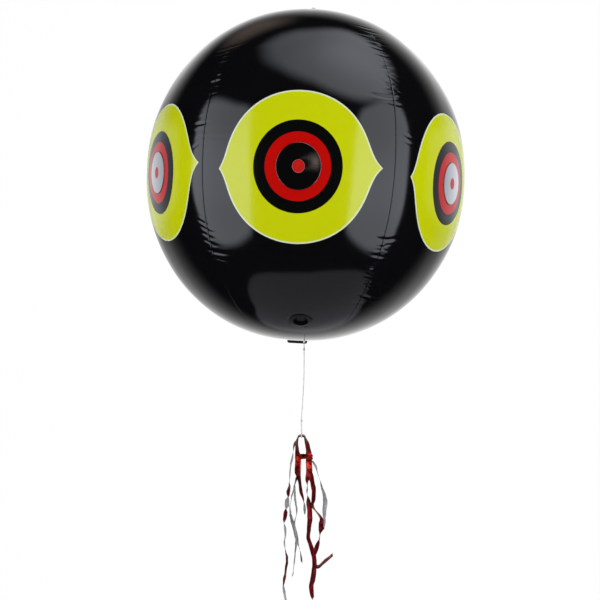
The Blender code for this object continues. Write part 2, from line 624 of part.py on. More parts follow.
def make_tassel(parts, material, pivot):
    """Four foil ribbons over the end loop, and the band round both legs."""
    for lane in range(len(LEFT_TAIL_SHARES)):
        name = f"ribbon_{lane + 1}"
        ribbon = add_object(name, ribbon_mesh(ribbon_path(lane)), parts, material, pivot)
        add_modifier(ribbon, "SOLIDIFY", thickness=RIBBON_FOIL, offset=0.0)
    outline = [
        (BAND_SIDE + BAND_HALF_WIDTH * math.copysign(abs(math.cos(a)) ** 0.6, math.cos(a)),
         BAND_HALF_DEPTH * math.copysign(abs(math.sin(a)) ** 0.6, math.sin(a)))
        for a in np.linspace(0.0, math.tau, TURN_STEPS + 1)[:-1]
    ]
    count = len(outline)
    points = [(x, y, z) for z in (-BAND_TOP - BAND_HEIGHT, -BAND_TOP) for x, y in outline]
    faces = [(i, (i + 1) % count, count + (i + 1) % count, count + i) for i in range(count)]
    mesh = bpy.data.meshes.new("ribbon_band")
    mesh.from_pydata(points, [], faces)
    mesh.shade_smooth()
    band = add_object("ribbon_band", mesh, parts, material, pivot)
    add_modifier(band, "SOLIDIFY", thickness=BAND_FOIL, offset=1.0)


def main():
    clear_scene()
    parts = new_collection("bird_scare_balloon")
    cutters = new_collection("cutters")
    film = new_material("black_pvc_film", PVC_BLACK, 0.12)
    soft = new_material("black_soft_pvc", PVC_CLEAR_BLACK, 0.3)
    silver = new_material("silver_foil", FOIL_SILVER, 0.12, 1.0)
    red = new_material("red_foil", FOIL_RED, 0.2, 0.9)
    white = new_material("white_string", STRING_WHITE, 0.8)

    place, turn = valve_place()
    valve_axis = add_empty("valve_axis", parts, place, turn)
    make_panels(parts, film, valve_axis, cutters)
    make_pupils(parts, silver)
    make_patch("top_patch", True, parts, soft)
    make_patch("bottom_patch", False, parts, soft)
    make_hang_tab(parts, cutters, soft)
    make_bottom_tab(parts, cutters, soft)
    make_valve(parts, soft, valve_axis)
    tassel_pivot = make_string(parts, white)
    make_tassel(parts, red, tassel_pivot)

    for cutter in cutters.objects:
        cutter.hide_render = True
        cutter.display_type = "WIRE"

    bpy.context.view_layer.update()
    for pivot in (obj for obj in parts.objects if obj.type == "EMPTY"):
        frame = pivot.matrix_world
        place = [round(value, 5) for value in frame.translation]
        level, up = ([round(value, 5) for value in frame.to_3x3().col[i]] for i in (1, 2))
        print(f"{pivot.name}: at {place}, Y axis {level}, Z axis {up}")


main()
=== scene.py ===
# %% [markdown]
# # Dressing a bird scare balloon
# The balloon is a ball of six welded black PVC panels. Each panel carries a printed eye with a foil
# pupil, and a foil tassel hangs below on a string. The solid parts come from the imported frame. This
# lesson builds the film with its creases, the foil, the twisted string and the finishes on top of them.
# The frame has to be loaded before anything else, so that every new piece can be placed from it.

# %% Load the frame
import json
import math

import bmesh
import bpy
import numpy as np
from mathutils import Matrix, Vector


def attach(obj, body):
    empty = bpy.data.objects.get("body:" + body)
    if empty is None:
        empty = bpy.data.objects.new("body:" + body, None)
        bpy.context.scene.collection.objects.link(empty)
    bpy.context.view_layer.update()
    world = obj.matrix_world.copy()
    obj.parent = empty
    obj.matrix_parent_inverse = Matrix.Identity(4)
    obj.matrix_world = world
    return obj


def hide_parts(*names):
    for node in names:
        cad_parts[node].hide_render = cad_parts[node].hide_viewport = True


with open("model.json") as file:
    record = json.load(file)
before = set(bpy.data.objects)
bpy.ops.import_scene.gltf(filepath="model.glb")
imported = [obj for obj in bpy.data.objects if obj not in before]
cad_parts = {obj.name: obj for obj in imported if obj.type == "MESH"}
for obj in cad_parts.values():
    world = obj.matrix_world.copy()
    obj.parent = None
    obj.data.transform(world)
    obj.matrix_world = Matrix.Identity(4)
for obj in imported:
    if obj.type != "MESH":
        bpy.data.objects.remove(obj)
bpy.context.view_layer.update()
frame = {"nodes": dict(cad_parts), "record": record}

# %% [markdown]
# ## The camera
# The picture was taken from a little below the middle of the ball, with a slightly tilted camera. The
# place and the two directions below were fitted to the ball's outline, its seams and the middles of its
# eyes. A camera looks along its own -Z axis, so its matrix holds right, up and backwards as columns.

# %% Camera
CAMERA_PLACE = Vector((0.0427, -0.9023, -0.3397))
CAMERA_FORWARD = Vector((-0.04622, 0.99843, -0.03175))
CAMERA_UP = Vector((-0.05099, 0.02939, 0.99827))
FOCAL_LENGTH_PX = 695
IMAGE_WIDTH_PX = 600
SENSOR_WIDTH_MM = 36

camera_data = bpy.data.cameras.new("camera")
camera_data.sensor_width = SENSOR_WIDTH_MM
camera_data.lens = FOCAL_LENGTH_PX / IMAGE_WIDTH_PX * SENSOR_WIDTH_MM
camera = bpy.data.objects.new("camera", camera_data)
bpy.context.scene.collection.objects.link(camera)
right = CAMERA_FORWARD.cross(CAMERA_UP).normalized()
up = right.cross(CAMERA_FORWARD).normalized()
turn = Matrix((right, up, -CAMERA_FORWARD.normalized())).transposed()
camera.matrix_world = Matrix.Translation(CAMERA_PLACE) @ turn.to_4x4()
bpy.context.scene.camera = camera
print("lens:", round(camera_data.lens, 1), "mm")

# %% [markdown]
# ## Surfaces from arrays
# Every new piece is a grid of places that a formula gives, so one helper turns such a grid into faces and
# another turns places and faces into a mesh. Whole arrays go into the mesh at once, which is much faster
# than adding points one by one.

# %% Grids and meshes
MERGE_DISTANCE = 1e-7


def grid_faces(rows, columns, round_columns=False):
    """Corner numbers of the quads between neighbouring rows and columns of a grid of places.

    They run column, next column, next row, so the face looks along columns x rows. With round_columns the
    last column joins the first."""
    row = np.arange(rows - 1)[:, None]
    column = np.arange(columns if round_columns else columns - 1)[None, :]
    beside = (column + 1) % columns
    corners = [row * columns + column, row * columns + beside, (row + 1) * columns + beside,
               (row + 1) * columns + column]
    return np.stack(np.broadcast_arrays(*corners), axis=-1).reshape(-1, 4)


def new_piece(name, places, faces, uv=None, edge_faces=None):
    """A smooth mesh object at the origin, from places (n, 3) and quads (m, 4).

    Faces marked in edge_faces stay flat, so that a thin sheet's broad sides keep their own light."""
    mesh = bpy.data.meshes.new(name)
    mesh.vertices.add(len(places))
    mesh.vertices.foreach_set("co", np.ascontiguousarray(places, np.float32).ravel())
    mesh.loops.add(faces.size)
    mesh.loops.foreach_set("vertex_index", faces.astype(np.int32).ravel())
    mesh.polygons.add(len(faces))
    mesh.polygons.foreach_set("loop_start", np.arange(0, faces.size, 4, dtype=np.int32))
    mesh.update(calc_edges=True)
    if uv is not None:
        layer = mesh.uv_layers.new(name="print")
        layer.data.foreach_set("uv", uv[faces.ravel()].astype(np.float32).ravel())
    mesh.shade_smooth()
    if edge_faces is not None:
        mesh.polygons.foreach_set("use_smooth", ~edge_faces)
    obj = bpy.data.objects.new(name, mesh)
    bpy.context.scene.collection.objects.link(obj)
    return obj


def close_ends(piece):
    """Merge each ring whose places are all the same, so that the piece closes there in one point."""
    work = bmesh.new()
    work.from_mesh(piece.data)
    bmesh.ops.remove_doubles(work, verts=work.verts, dist=MERGE_DISTANCE)
    bmesh.ops.dissolve_degenerate(work, edges=work.edges, dist=MERGE_DISTANCE / 10)
    work.to_mesh(piece.data)
    work.free()


def smooth_path(points, step):
    """Points about one step apart on a smooth curve through the given points (Catmull-Rom).

    Between two points it is a cubic whose slope at each is half the way between its neighbours."""
    points = np.asarray(points, float)
    ends = np.vstack([2 * points[0] - points[1], points, 2 * points[-1] - points[-2]])
    rows = []
    for before, start, end, after in zip(ends, ends[1:], ends[2:], ends[3:]):
        count = max(1, round(np.linalg.norm((end - start)[:3]) / step))
        t = (np.arange(count) / count)[:, None]
        rows.append(
            start + 0.5 * t * (end - before + t * (2 * before - 5 * start + 4 * end - after
                               + t * (3 * start - before - 3 * end + after)))
        )
    return np.vstack([*rows, points[-1:]])


def unit(vectors):
    """The same directions, each one unit long."""
    return vectors / np.linalg.norm(vectors, axis=-1, keepdims=True)


def lengths_along(path):
    """Distance of each point from the start, measured along the path."""
    steps = np.linalg.norm(np.diff(path, axis=0), axis=1)
    return np.concatenate([[0.0], np.cumsum(steps)])


# %% [markdown]
# ## The string
# The tail hangs on a thin white string of three plies. It runs through the hole of the bottom tab, is
# knotted there, hangs down about nine centimetres, and ends in a knot and a doubled loop that carries the
# tassel. The route repeats the one that the frame's string solid follows, and the tail leans a little
# sideways, because the camera was tilted while the tail hung plumb.

# %% The tail's own directions
STRING_HOLE = np.array((0.009, 0.0, -0.4229))
TAIL_LEAN = math.radians(2.8)
TAIL_SIDE = np.array((math.cos(TAIL_LEAN), 0.0, math.sin(TAIL_LEAN)))
TAIL_UP = np.array((-math.sin(TAIL_LEAN), 0.0, math.cos(TAIL_LEAN)))
TAIL_AXES = np.stack([TAIL_SIDE, (0.0, 1.0, 0.0), TAIL_UP])
TAB_LOOP_DROP = 0.0095
END_KNOT_DROP = 0.1029
END_KNOT_SIDE = -0.0033
END_LOOP_DROP = 0.0215


def in_tail(points, origin):
    """Places (side, front, up) in the leaning tail, measured from an origin, as places in the frame."""
    return origin + np.asarray(points, float) @ TAIL_AXES


TAB_KNOT = in_tail((0.0, 0.0, -TAB_LOOP_DROP), STRING_HOLE)
END_KNOT = in_tail((END_KNOT_SIDE, 0.0, -END_KNOT_DROP), STRING_HOLE)
TASSEL = in_tail((0.0, 0.0, -END_LOOP_DROP), END_KNOT)
print("tab knot", TAB_KNOT.round(4), "end knot", END_KNOT.round(4), "tassel", TASSEL.round(4))

# %% Tubes with plies
STRING_RADIUS = 0.0007
PLIES = 3
PLY_PITCH = 0.0042
PLY_GROOVE_SHARE = 0.66
STRING_SIDES = 18
STRING_ROW_STEP = 0.0003


def ply_outline(angle):
    """Outline of three round plies in a ring of radius 1.

    A ply of radius p sits at distance 1 - p, so seen from the middle its rim lies at
    (1 - p) cos a + sqrt(p^2 - (1 - p)^2 sin^2 a). The grooves are filled to a share by fluff."""
    ply = 1 / (1 + 1 / math.sin(math.pi / PLIES))
    turned = (angle + math.pi / PLIES) % (math.tau / PLIES) - math.pi / PLIES
    under = np.maximum(ply**2 - ((1 - ply) * np.sin(turned)) ** 2, 0.0)
    return np.maximum((1 - ply) * np.cos(turned) + np.sqrt(under), PLY_GROOVE_SHARE)


def string_piece(name, path, reference):
    """A twisted string along a path, closed at its ends.

    Each ring lies square to the path, between the directions n = t x reference and b = t x n, and its
    outline turns once in a pitch, so the plies wind round the path."""
    along = unit(np.gradient(path, axis=0))
    side = unit(np.cross(along, reference))
    other = np.cross(along, side)
    angle = np.linspace(0.0, math.tau, STRING_SIDES, endpoint=False)[None, :]
    travel = lengths_along(path)[:, None]
    radius = STRING_RADIUS * ply_outline(angle - math.tau * travel / PLY_PITCH)
    outline = np.stack([radius * np.cos(angle), radius * np.sin(angle)], axis=-1)
    ring = outline[..., :1] * side[:, None] + outline[..., 1:] * other[:, None]
    places = path[:, None] + ring
    places = np.concatenate([np.repeat(path[:1, None], STRING_SIDES, 1), places,
                             np.repeat(path[-1:, None], STRING_SIDES, 1)])
    piece = new_piece(name, places.reshape(-1, 3), grid_faces(len(places), STRING_SIDES, round_columns=True))
    close_ends(piece)
    return piece


# %% The free stretch of the string
# Sideways and upwards from the tab's hole, in tenths of a millimetre
STRING_ROUTE = (
    (0, -117), (0, -171), (0, -232), (0, -294), (-1, -355), (-1, -416), (-3, -478), (-5, -539), (-8, -600),
    (-11, -662), (-14, -723), (-18, -784), (-22, -846), (-27, -907), (-32, -958), (-33, -1007),
)
route = [(side / 10000, 0.0, rise / 10000) for side, rise in STRING_ROUTE]
string_path = in_tail(smooth_path(route, STRING_ROW_STEP), STRING_HOLE)
tail_string = string_piece("string_stretch", string_path, (0.0, 1.0, 0.0))

# %% [markdown]
# The loop at the tab and the loop at the lower end have the same shape: two strands leave the knot side
# by side, part, turn round and meet. The knots are short winds of the same string, so each is a tube
# along a helix that is drawn in at both ends.

# %% Loops and knots
KNOT_RADIUS = 0.0017
KNOT_HALF_LENGTH = 0.0019
KNOT_TURNS = 2.6
KNOT_POINTS = 90
KNOT_DRAW = 0.8
KNOT_END = 0.8 * STRING_RADIUS
STRAND_GAP = 0.0003
STRANDS_APART = 1.6
STRANDS_DOWN = 1.7
LOOP_BEND = math.radians(75)
LOOP_POINTS = 5
TAB_LOOP_HALF_WIDTH = 0.0034
END_LOOP_HALF_WIDTH = 0.0054
RIBBON_WIDTH = 0.008


def loop_route(drop, half_width, straight):
    """A tied loop in the plane across the tail, from one strand's end at the knot to the other's.

    Each half runs from the knot to an arc that ends at the drop, and its radius is the half width less
    the straight middle."""
    start = math.copysign(KNOT_HALF_LENGTH + STRAND_GAP, drop)
    apart = STRING_RADIUS + STRAND_GAP / 2
    corner = half_width - straight
    way = math.copysign(1.0, drop)
    angles = np.linspace(LOOP_BEND, 0.0, LOOP_POINTS)
    bend = [(0.0, straight + corner * math.sin(a), drop - way * corner * (1 - math.cos(a))) for a in angles]
    half = [(0.0, apart, start), (0.0, STRANDS_APART * apart, STRANDS_DOWN * start), *bend]
    middle = [(0.0, 0.0, drop)] if straight > STRING_RADIUS else []
    other = [(x, -y, z) for x, y, z in half[::-1]]
    return smooth_path(half + middle + (other if middle else other[1:]), STRING_ROW_STEP)


def knot_route():
    """A helix about the tail's direction, whose radius goes with its height h as sqrt(1 - draw * h^2)."""
    share = np.linspace(-1.0, 1.0, KNOT_POINTS)
    swing = math.pi * KNOT_TURNS * share
    reach = (KNOT_RADIUS - STRING_RADIUS) * np.sqrt(1 - KNOT_DRAW * share**2)
    rise = (KNOT_HALF_LENGTH - KNOT_END) * share
    return np.stack([reach * np.cos(swing), reach * np.sin(swing), rise], axis=-1)


tab_loop_route = loop_route(TAB_LOOP_DROP, TAB_LOOP_HALF_WIDTH, 0.0)
end_loop_route = loop_route(-END_LOOP_DROP, END_LOOP_HALF_WIDTH, RIBBON_WIDTH / 2)
tab_loop, end_loop, tab_knot, end_knot = [
    string_piece(name, in_tail(route, knot), reference)
    for name, route, knot, reference in (
        ("tied_loop_at_tab", tab_loop_route, TAB_KNOT, TAIL_SIDE),
        ("loop_in_tassel", end_loop_route, END_KNOT, TAIL_SIDE),
        ("knot_at_tab", knot_route(), TAB_KNOT, TAIL_UP),
        ("knot_above_tassel", knot_route(), END_KNOT, TAIL_UP),
    )
]

string_pieces = (tail_string, tab_loop, tab_knot, end_knot, end_loop)
for piece, node, body in (
    (tail_string, "tail_string", "tail_string"),
    (tab_loop, "tab_loop", "string_loop"),
    (tab_knot, "tab_knot", "string_loop"),
    (end_knot, "end_knot", "string_end"),
    (end_loop, "end_loop", "string_end"),
):
    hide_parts(node)
    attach(piece, body)
string_path[::10].tolist() + string_path[-1:].tolist()
print("string pieces:", [piece.name for piece in string_pieces])

# %% [markdown]
# ## The film
# Six gores of PVC film are welded edge to edge and blown up. The ball that they make is a little fuller
# than an ellipsoid, and each gore lies flatter along its middle. Welding makes the seam shorter than the
# film beside it, so the film puckers there: short creases cross each seam. The film is one formula, the
# smooth ball plus a height for the seam's groove, the creases and the slow waves of a hand-blown ball.

# %% The smooth ball
EQUATOR_RADIUS = 0.2
HALF_HEIGHT = 0.206
FULLNESS = 2.2
FLAT_SHARE = 0.02
PANELS = 6
TIP_RADIUS = 0.0105
HALF_PANEL = math.pi / PANELS
POLE_SINK = 0.0015
POLE_SINK_REACH = 0.032
BALL_CENTRE = np.array((0.0, 0.0, -0.215))
VALVE_LONGITUDE = math.radians(4.0)
VALVE_LATITUDE = math.radians(-54.8)
SLACK_SHARE = 0.021
VALVE_HOLD = 0.42


def ball(longitude, latitude):
    """Places on the smooth ball, from its centre.

    The meridian is a superellipse: |cos|^n + |sin|^n sets how full it is. Between the equator and the
    poles the film isn't quite taut, so it lies slack * sin(2 latitude)^2 lower, but not near the valve,
    whose seat holds it out within an angle of the valve's own direction. Going round, the radius is
    drawn in by 1 - share / 2 * cos(6 longitude), so that panel middles lie flatter. At the poles the
    welds draw the film in by sink * exp(-(radius / reach)^2)."""
    level, rise = np.cos(latitude), np.sin(latitude)
    full = (np.abs(level) ** FULLNESS + np.abs(rise) ** FULLNESS) ** (-1 / FULLNESS)
    to_valve = (rise * math.sin(VALVE_LATITUDE)
                + level * math.cos(VALVE_LATITUDE) * np.cos(longitude - VALVE_LONGITUDE))
    held = np.exp(-2 * (1 - to_valve) / VALVE_HOLD**2)
    full = full * (1 - SLACK_SHARE * np.sin(2 * latitude) ** 2 * (1 - held))
    out = EQUATOR_RADIUS * level * full * (1 - FLAT_SHARE / 2 * np.cos(PANELS * longitude) * level**2)
    height = HALF_HEIGHT * rise * full - np.sign(rise) * POLE_SINK * np.exp(-((out / POLE_SINK_REACH) ** 2))
    return np.stack([out * np.sin(longitude), -out * np.cos(longitude), height], axis=-1)


def ball_normal(longitude, latitude, turn=1e-4):
    """Outward direction: the cross product of the slopes eastwards and northwards."""
    east = ball(longitude + turn, latitude) - ball(longitude - turn, latitude)
    north = ball(longitude, latitude + turn) - ball(longitude, latitude - turn)
    return unit(np.cross(east, north))


# %% Creases across the seams
MM = 0.001
GROOVE_WIDTH = 0.0006
CREASE_WIDENING = 1.4
CREASE_SHARE = 0.45
CREASE_LIP = 1.3
CREASE_BEND = 8.0
PUCKER_HEIGHT = 0.00005
PUCKER_REACH = 0.007
PUCKER_SPREAD = 0.012
PUCKER_WAVES = 8
PUCKER_WAVELENGTHS = (0.0036, 0.0075)
PUCKER_SLANT = 0.5
PUCKER_SEED = 50

# Depth of the weld's groove along a seam: height above the equator and depth, in millimetres
GROOVE_ALONG_MM = ((-190, 0.05), (-182, 0.16), (-150, 0.16), (-118, 0.04), (-104, 0.05), (-96, 0.2),
                   (0, 0.2), (80, 0.2), (92, 0.05), (120, 0.03), (190, 0.03))

# Creases listed where the picture shows them: height above the equator along the meridian, offset to
# the right of the seam, half length, width and depth, all in millimetres, and the slope of the crease
LEFT_SEAM_CREASES = (
    (124, -4, 13, 1.6, 0.45, 0.1), (117, -6, 9, 1.5, 0.4, 0.2), (105, 3, 10, 1.7, 0.6, 0.12),
    (96, -8, 8, 1.6, 0.3, 0.05), (85, 3, 7, 1.8, 0.6, 0.15), (77.5, 0, 9, 2.2, 1.1, 0.04),
    (70, 4, 8, 1.8, 0.25, 0.1), (31.5, -5, 8, 1.7, 0.85, 0.02), (25, -9, 4, 1.4, 0.5, -0.3),
    (16, 16, 14, 2, 0.26, -0.14), (10, -8, 6, 1.4, 0.5, 0.6), (-33, 2, 10, 1.8, 0.16, 0),
    (-69, -5, 5, 1.4, 0.62, -0.4), (-76, -3, 5, 1.4, 0.6, -0.45), (-82.5, -3, 5, 1.4, 0.6, -0.4),
    (-80, 9, 6, 1.5, 0.3, -0.1), (-90, -3, 6, 1.4, 0.6, -0.45), (-101.5, 3, 14, 2.2, 0.75, -0.22),
    (-110, 9, 10, 2, 0.65, -0.18), (-119, 6, 6, 1.8, 0.6, -0.15), (-138, -4, 10, 1.7, 0.3, 0),
)
RIGHT_SEAM_CREASES = (
    (171, -5, 9, 1.5, 0.5, 0), (162, 3, 9, 1.5, 0.5, 0.1), (150, -4, 10, 1.6, 0.55, 0),
    (140, 2, 10, 1.5, 0.55, 0.1), (131, -3, 9, 1.5, 0.55, -0.1), (121.5, 0, 10, 1.7, 0.65, 0),
    (113, -5, 9, 1.5, 0.55, 0), (104, -3, 10, 1.8, 0.8, 0.05), (96, 2, 9, 1.5, 0.6, -0.3),
    (89, 6, 12, 1.6, 0.8, -0.55), (82, -3, 11, 1.6, 0.6, -0.35), (75.5, 5, 11, 1.6, 0.7, -0.5),
    (66, -8, 14, 1.8, 0.9, 0.03), (60, 2, 8, 1.5, 0.35, 0), (29, 12, 9, 1.5, 0.5, -0.35),
    (22, 13, 8, 1.5, 0.5, -0.25), (-14, -8, 9, 1.6, 0.2, 0), (-71, -5, 9, 1.5, 0.25, 0),
    (-79, 1, 11, 2.1, 1.2, 0), (-85, 5, 5, 1.4, 0.35, 0.35), (-90, 4, 5, 1.4, 0.35, -0.3),
    (-97, 0, 7, 1.6, 0.35, -0.1), (-111, -3, 4, 1.5, 0.5, 0), (-122, 4, 9, 1.6, 0.6, 0.05),
    (-130, 3, 8, 1.6, 0.45, 0), (-149, 6, 12, 2, 1, -0.25), (-158, -2, 8, 1.6, 0.4, 0.1),
)
CLUSTERS_MM = (-140, -88, -74, 30, 68, 98, 128, 155)
CLUSTER_SHIFT_MM = 8
CREASE_STEPS_MM = (5.5, 9)
# Least and most of a crease's offset, half length, width and depth in millimetres, and of its slope
CREASE_RANGES = ((-6, 8), (8, 15), (1.5, 2), (0.35, 0.95), (-0.3, 0.3))


def other_seam_creases(seed):
    """Creases for a seam that the picture doesn't show: clusters of two to four, from a fixed seed.

    Their measures are drawn evenly from ranges like those of the front seams."""
    chance = np.random.default_rng(seed)
    shifts = chance.uniform(-CLUSTER_SHIFT_MM, CLUSTER_SHIFT_MM, len(CLUSTERS_MM))
    rows = []
    for height in CLUSTERS_MM + shifts:
        for _ in range(int(chance.integers(2, 5))):
            rows.append((height, *[chance.uniform(*limits) for limits in CREASE_RANGES]))
            height += chance.uniform(*CREASE_STEPS_MM)
    return rows


# Seam k lies right of panel k + 1, seen from outside, so the two front seams are the first and the last
SEAM_CREASES = [RIGHT_SEAM_CREASES, *[other_seam_creases(seed) for seed in range(1, PANELS - 1)],
                LEFT_SEAM_CREASES]
print("creases per seam:", [len(rows) for rows in SEAM_CREASES])


# %% Height of the film over the smooth ball
def seam_relief(seam, across, height):
    """Height of the film near one seam: the weld's groove, the creases and the fine puckers.

    The groove is -depth exp(-(d / width)^2), with d the distance from the weld. A crease is a fold with
    raised lips, depth (lip u^2 - 1) exp(-u^2) with u the distance from its line over its width, and it
    fades along its length as exp(-(d / half length)^2). Its line is a parabola with the crease's slope.
    Puckers are short waves that fade away from the weld and lie where the creases are."""
    groove = np.interp(height / MM, *np.transpose(GROOVE_ALONG_MM)) * MM
    total = -groove * np.exp(-((across / GROOVE_WIDTH) ** 2))
    gathered = np.zeros_like(total)
    for rise, offset, reach, width, depth, slope in SEAM_CREASES[seam]:
        away = across - offset * MM
        u = (height - rise * MM - slope * away - CREASE_BEND * away**2) / (width * CREASE_WIDENING * MM)
        fade = np.exp(-((away / (reach * MM)) ** 2))
        total += depth * MM * CREASE_SHARE * (CREASE_LIP * u**2 - 1) * np.exp(-(u**2)) * fade
        gathered += depth * np.exp(-(((height - rise * MM) / PUCKER_SPREAD) ** 2))
    chance = np.random.default_rng(PUCKER_SEED + seam)
    waves = np.zeros_like(total)
    for _ in range(PUCKER_WAVES):
        wavelength = chance.uniform(*PUCKER_WAVELENGTHS)
        slant = chance.uniform(-PUCKER_SLANT, PUCKER_SLANT)
        waves += np.sin(math.tau * (height + slant * across) / wavelength + chance.uniform(0, math.tau))
    near = np.exp(-((across / PUCKER_REACH) ** 2))
    return total + PUCKER_HEIGHT / 2 * waves * near * np.minimum(gathered, 1.0)


WAVE_COUNT = 9
WAVELENGTHS = (0.06, 0.16)
WAVE_SEED = 7
WAVE_HEIGHT = 0.00026
USUAL_SUM = 0.33
POLE_FADE_START = math.radians(85)
POLE_FADE_SPAN = math.radians(8)


def slow_waves(places):
    """Slow waves in the film: sines of the place, each as high as its wavelength, added up and scaled."""
    chance = np.random.default_rng(WAVE_SEED)
    total = np.zeros(places.shape[:-1])
    for _ in range(WAVE_COUNT):
        direction = unit(chance.normal(size=3))
        wavelength = chance.uniform(*WAVELENGTHS)
        phase = chance.uniform(0, math.tau)
        total += np.sin(math.tau * (places @ direction) / wavelength + phase) * wavelength
    return total * WAVE_HEIGHT / USUAL_SUM


def film_height(longitude, latitude, panel):
    """Height of the film, for places of one panel whose own middle is at longitude 0.

    It is the relief of the panel's two seams, which fades out towards the poles, plus the slow waves."""
    level = EQUATOR_RADIUS * np.cos(latitude)
    height = EQUATOR_RADIUS * latitude
    right_seam = seam_relief(panel, (longitude - HALF_PANEL) * level, height)
    left_seam = seam_relief((panel - 1) % PANELS, (longitude + HALF_PANEL) * level, height)
    around = longitude + panel * math.tau / PANELS
    pole_fade = np.clip((POLE_FADE_START - np.abs(latitude)) / POLE_FADE_SPAN, 0.0, 1.0)
    return (right_seam + left_seam) * pole_fade + slow_waves(ball(around, latitude))


def film(longitude, latitude, panel, lift=0.0):
    """Places on the film of one panel, in the frame: the ball plus the film's height along its normal."""
    around = longitude + panel * math.tau / PANELS
    height = film_height(longitude, latitude, panel) + lift
    return BALL_CENTRE + ball(around, latitude) + ball_normal(around, latitude) * height[..., None]


# %% [markdown]
# Each panel is a grid with narrow columns near its seams, where the creases need them. A weld flange
# turns inwards along each seam, as the real one does inside the ball, and a Solidify modifier gives the
# film its 0.3 mm. The UV map holds real distances from the panel's middle, which the print uses later.

# %% Panels
FILM = 0.0003
SEAM_GAP = 0.00004
WELD_FLANGE = 0.003
PANEL_ROWS = 700
UV_MIDDLE = 0.5
# The print doesn't lie equally well on each panel: sideways and upwards, in millimetres
PRINT_SHIFTS_MM = ((0, 0), (0, 3.2), (1.5, -1), (-2, 1), (1, 2), (9.5, 0))
COLUMN_DISTANCES_MM = (0, 0.1, 0.4, 0.8, 1.2, 1.9, 3.0, 4.5, 6.5, 9, 12, 15.5, 19.5, 24, 29, 35, 42, 50, 59,
                       69, 80, 92)
VALVE_HOLE_RADIUS = 0.01
JOINTS = {joint["name"]: joint for joint in frame["record"]["behaviour"]["joints"]}
VALVE_OUT = np.array(JOINTS["valve_stem_slide"]["axis"])
VALVE_PLACE = BALL_CENTRE + ball(np.array(VALVE_LONGITUDE), np.array(VALVE_LATITUDE))


def panel_columns():
    """Shares of the half panel, from -1 to 1, with both ends twice, for the flanges."""
    distances = np.array(COLUMN_DISTANCES_MM) * MM
    half = 1 - distances / (HALF_PANEL * EQUATOR_RADIUS)
    shares = np.concatenate([-half, half[::-1]])
    return np.concatenate([[-1.0], shares, [1.0]])


def make_panel(panel):
    """One gore: the film's grid, with its outermost columns turned in as the weld flange."""
    shares = panel_columns()
    tip = math.acos(TIP_RADIUS / EQUATOR_RADIUS)
    latitude, share = np.meshgrid(np.linspace(-tip, tip, PANEL_ROWS + 1), shares, indexing="ij")
    longitude = share * HALF_PANEL
    places = film(longitude, latitude, panel)
    around = longitude + panel * math.tau / PANELS
    eastwards = np.stack([np.cos(around), np.sin(around), np.zeros_like(around)], axis=-1)
    places -= eastwards * share[..., None] * SEAM_GAP / 2
    inwards = -ball_normal(around, latitude)
    places[:, 0] += inwards[:, 0] * WELD_FLANGE
    places[:, -1] += inwards[:, -1] * WELD_FLANGE
    level = np.hypot(*(places - BALL_CENTRE)[..., :2].transpose(2, 0, 1))
    from_middle = np.stack([longitude * level, latitude * EQUATOR_RADIUS], axis=-1).reshape(-1, 2)
    uv = UV_MIDDLE + from_middle - np.array(PRINT_SHIFTS_MM[panel]) * MM
    places = places.reshape(-1, 3)
    faces = grid_faces(len(latitude), len(shares))
    column = faces[:, 0] % len(shares)
    flange = (column == 0) | (column == len(shares) - 2)
    if panel == 0:
        places, faces, flange = cut_valve_hole(places, faces, flange)
    piece = new_piece(f"film_panel_{panel + 1}", places, faces, uv, flange)
    solidify = piece.modifiers.new("film", "SOLIDIFY")
    solidify.thickness = FILM
    solidify.offset = -1.0
    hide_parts(f"panel_{panel + 1}")
    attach(piece, "balloon")
    return piece


def cut_valve_hole(places, faces, flange):
    """Open a round hole: points inside it move out to its rim, and quads wholly inside are left out."""
    away = places - VALVE_PLACE
    along = away @ VALVE_OUT
    flat = away - along[:, None] * VALVE_OUT
    distance = np.linalg.norm(flat, axis=1)
    inside = (distance < VALVE_HOLE_RADIUS) & (np.abs(along) < VALVE_HOLE_RADIUS)
    rim = flat[inside] / distance[inside, None] * VALVE_HOLE_RADIUS
    places[inside] += rim - flat[inside]
    kept = ~inside[faces].all(axis=1)
    return places, faces[kept], flange[kept]


panels = [make_panel(panel) for panel in range(PANELS)]
print("panels:", len(panels), "of", len(panels[0].data.polygons), "faces")

# %% [markdown]
# ## The pupils
# A round mirror foil is stuck in the middle of each printed eye. It follows the film under it, so it is
# a polar grid that is laid on the same formula and lifted by its own thickness.

# %% Pupils
PUPIL_RADIUS = 0.0232
PUPIL_FOIL = 0.0002
PUPIL_CLEARANCE = 0.0003
PUPIL_INNER_SHARE = 0.02
PUPIL_OUTER_SHARE = 0.975
PUPIL_RINGS = 26
# Shares of the radius and of the foil's thickness, round its edge and back underneath
PUPIL_EDGE = np.array(((0.99, 1), (1, 0.85), (1, 0), (0, 0)))
PUPIL_COLUMNS = 96
EYE_DROP = 0.0118
PUPIL_SIDE = 0.0018


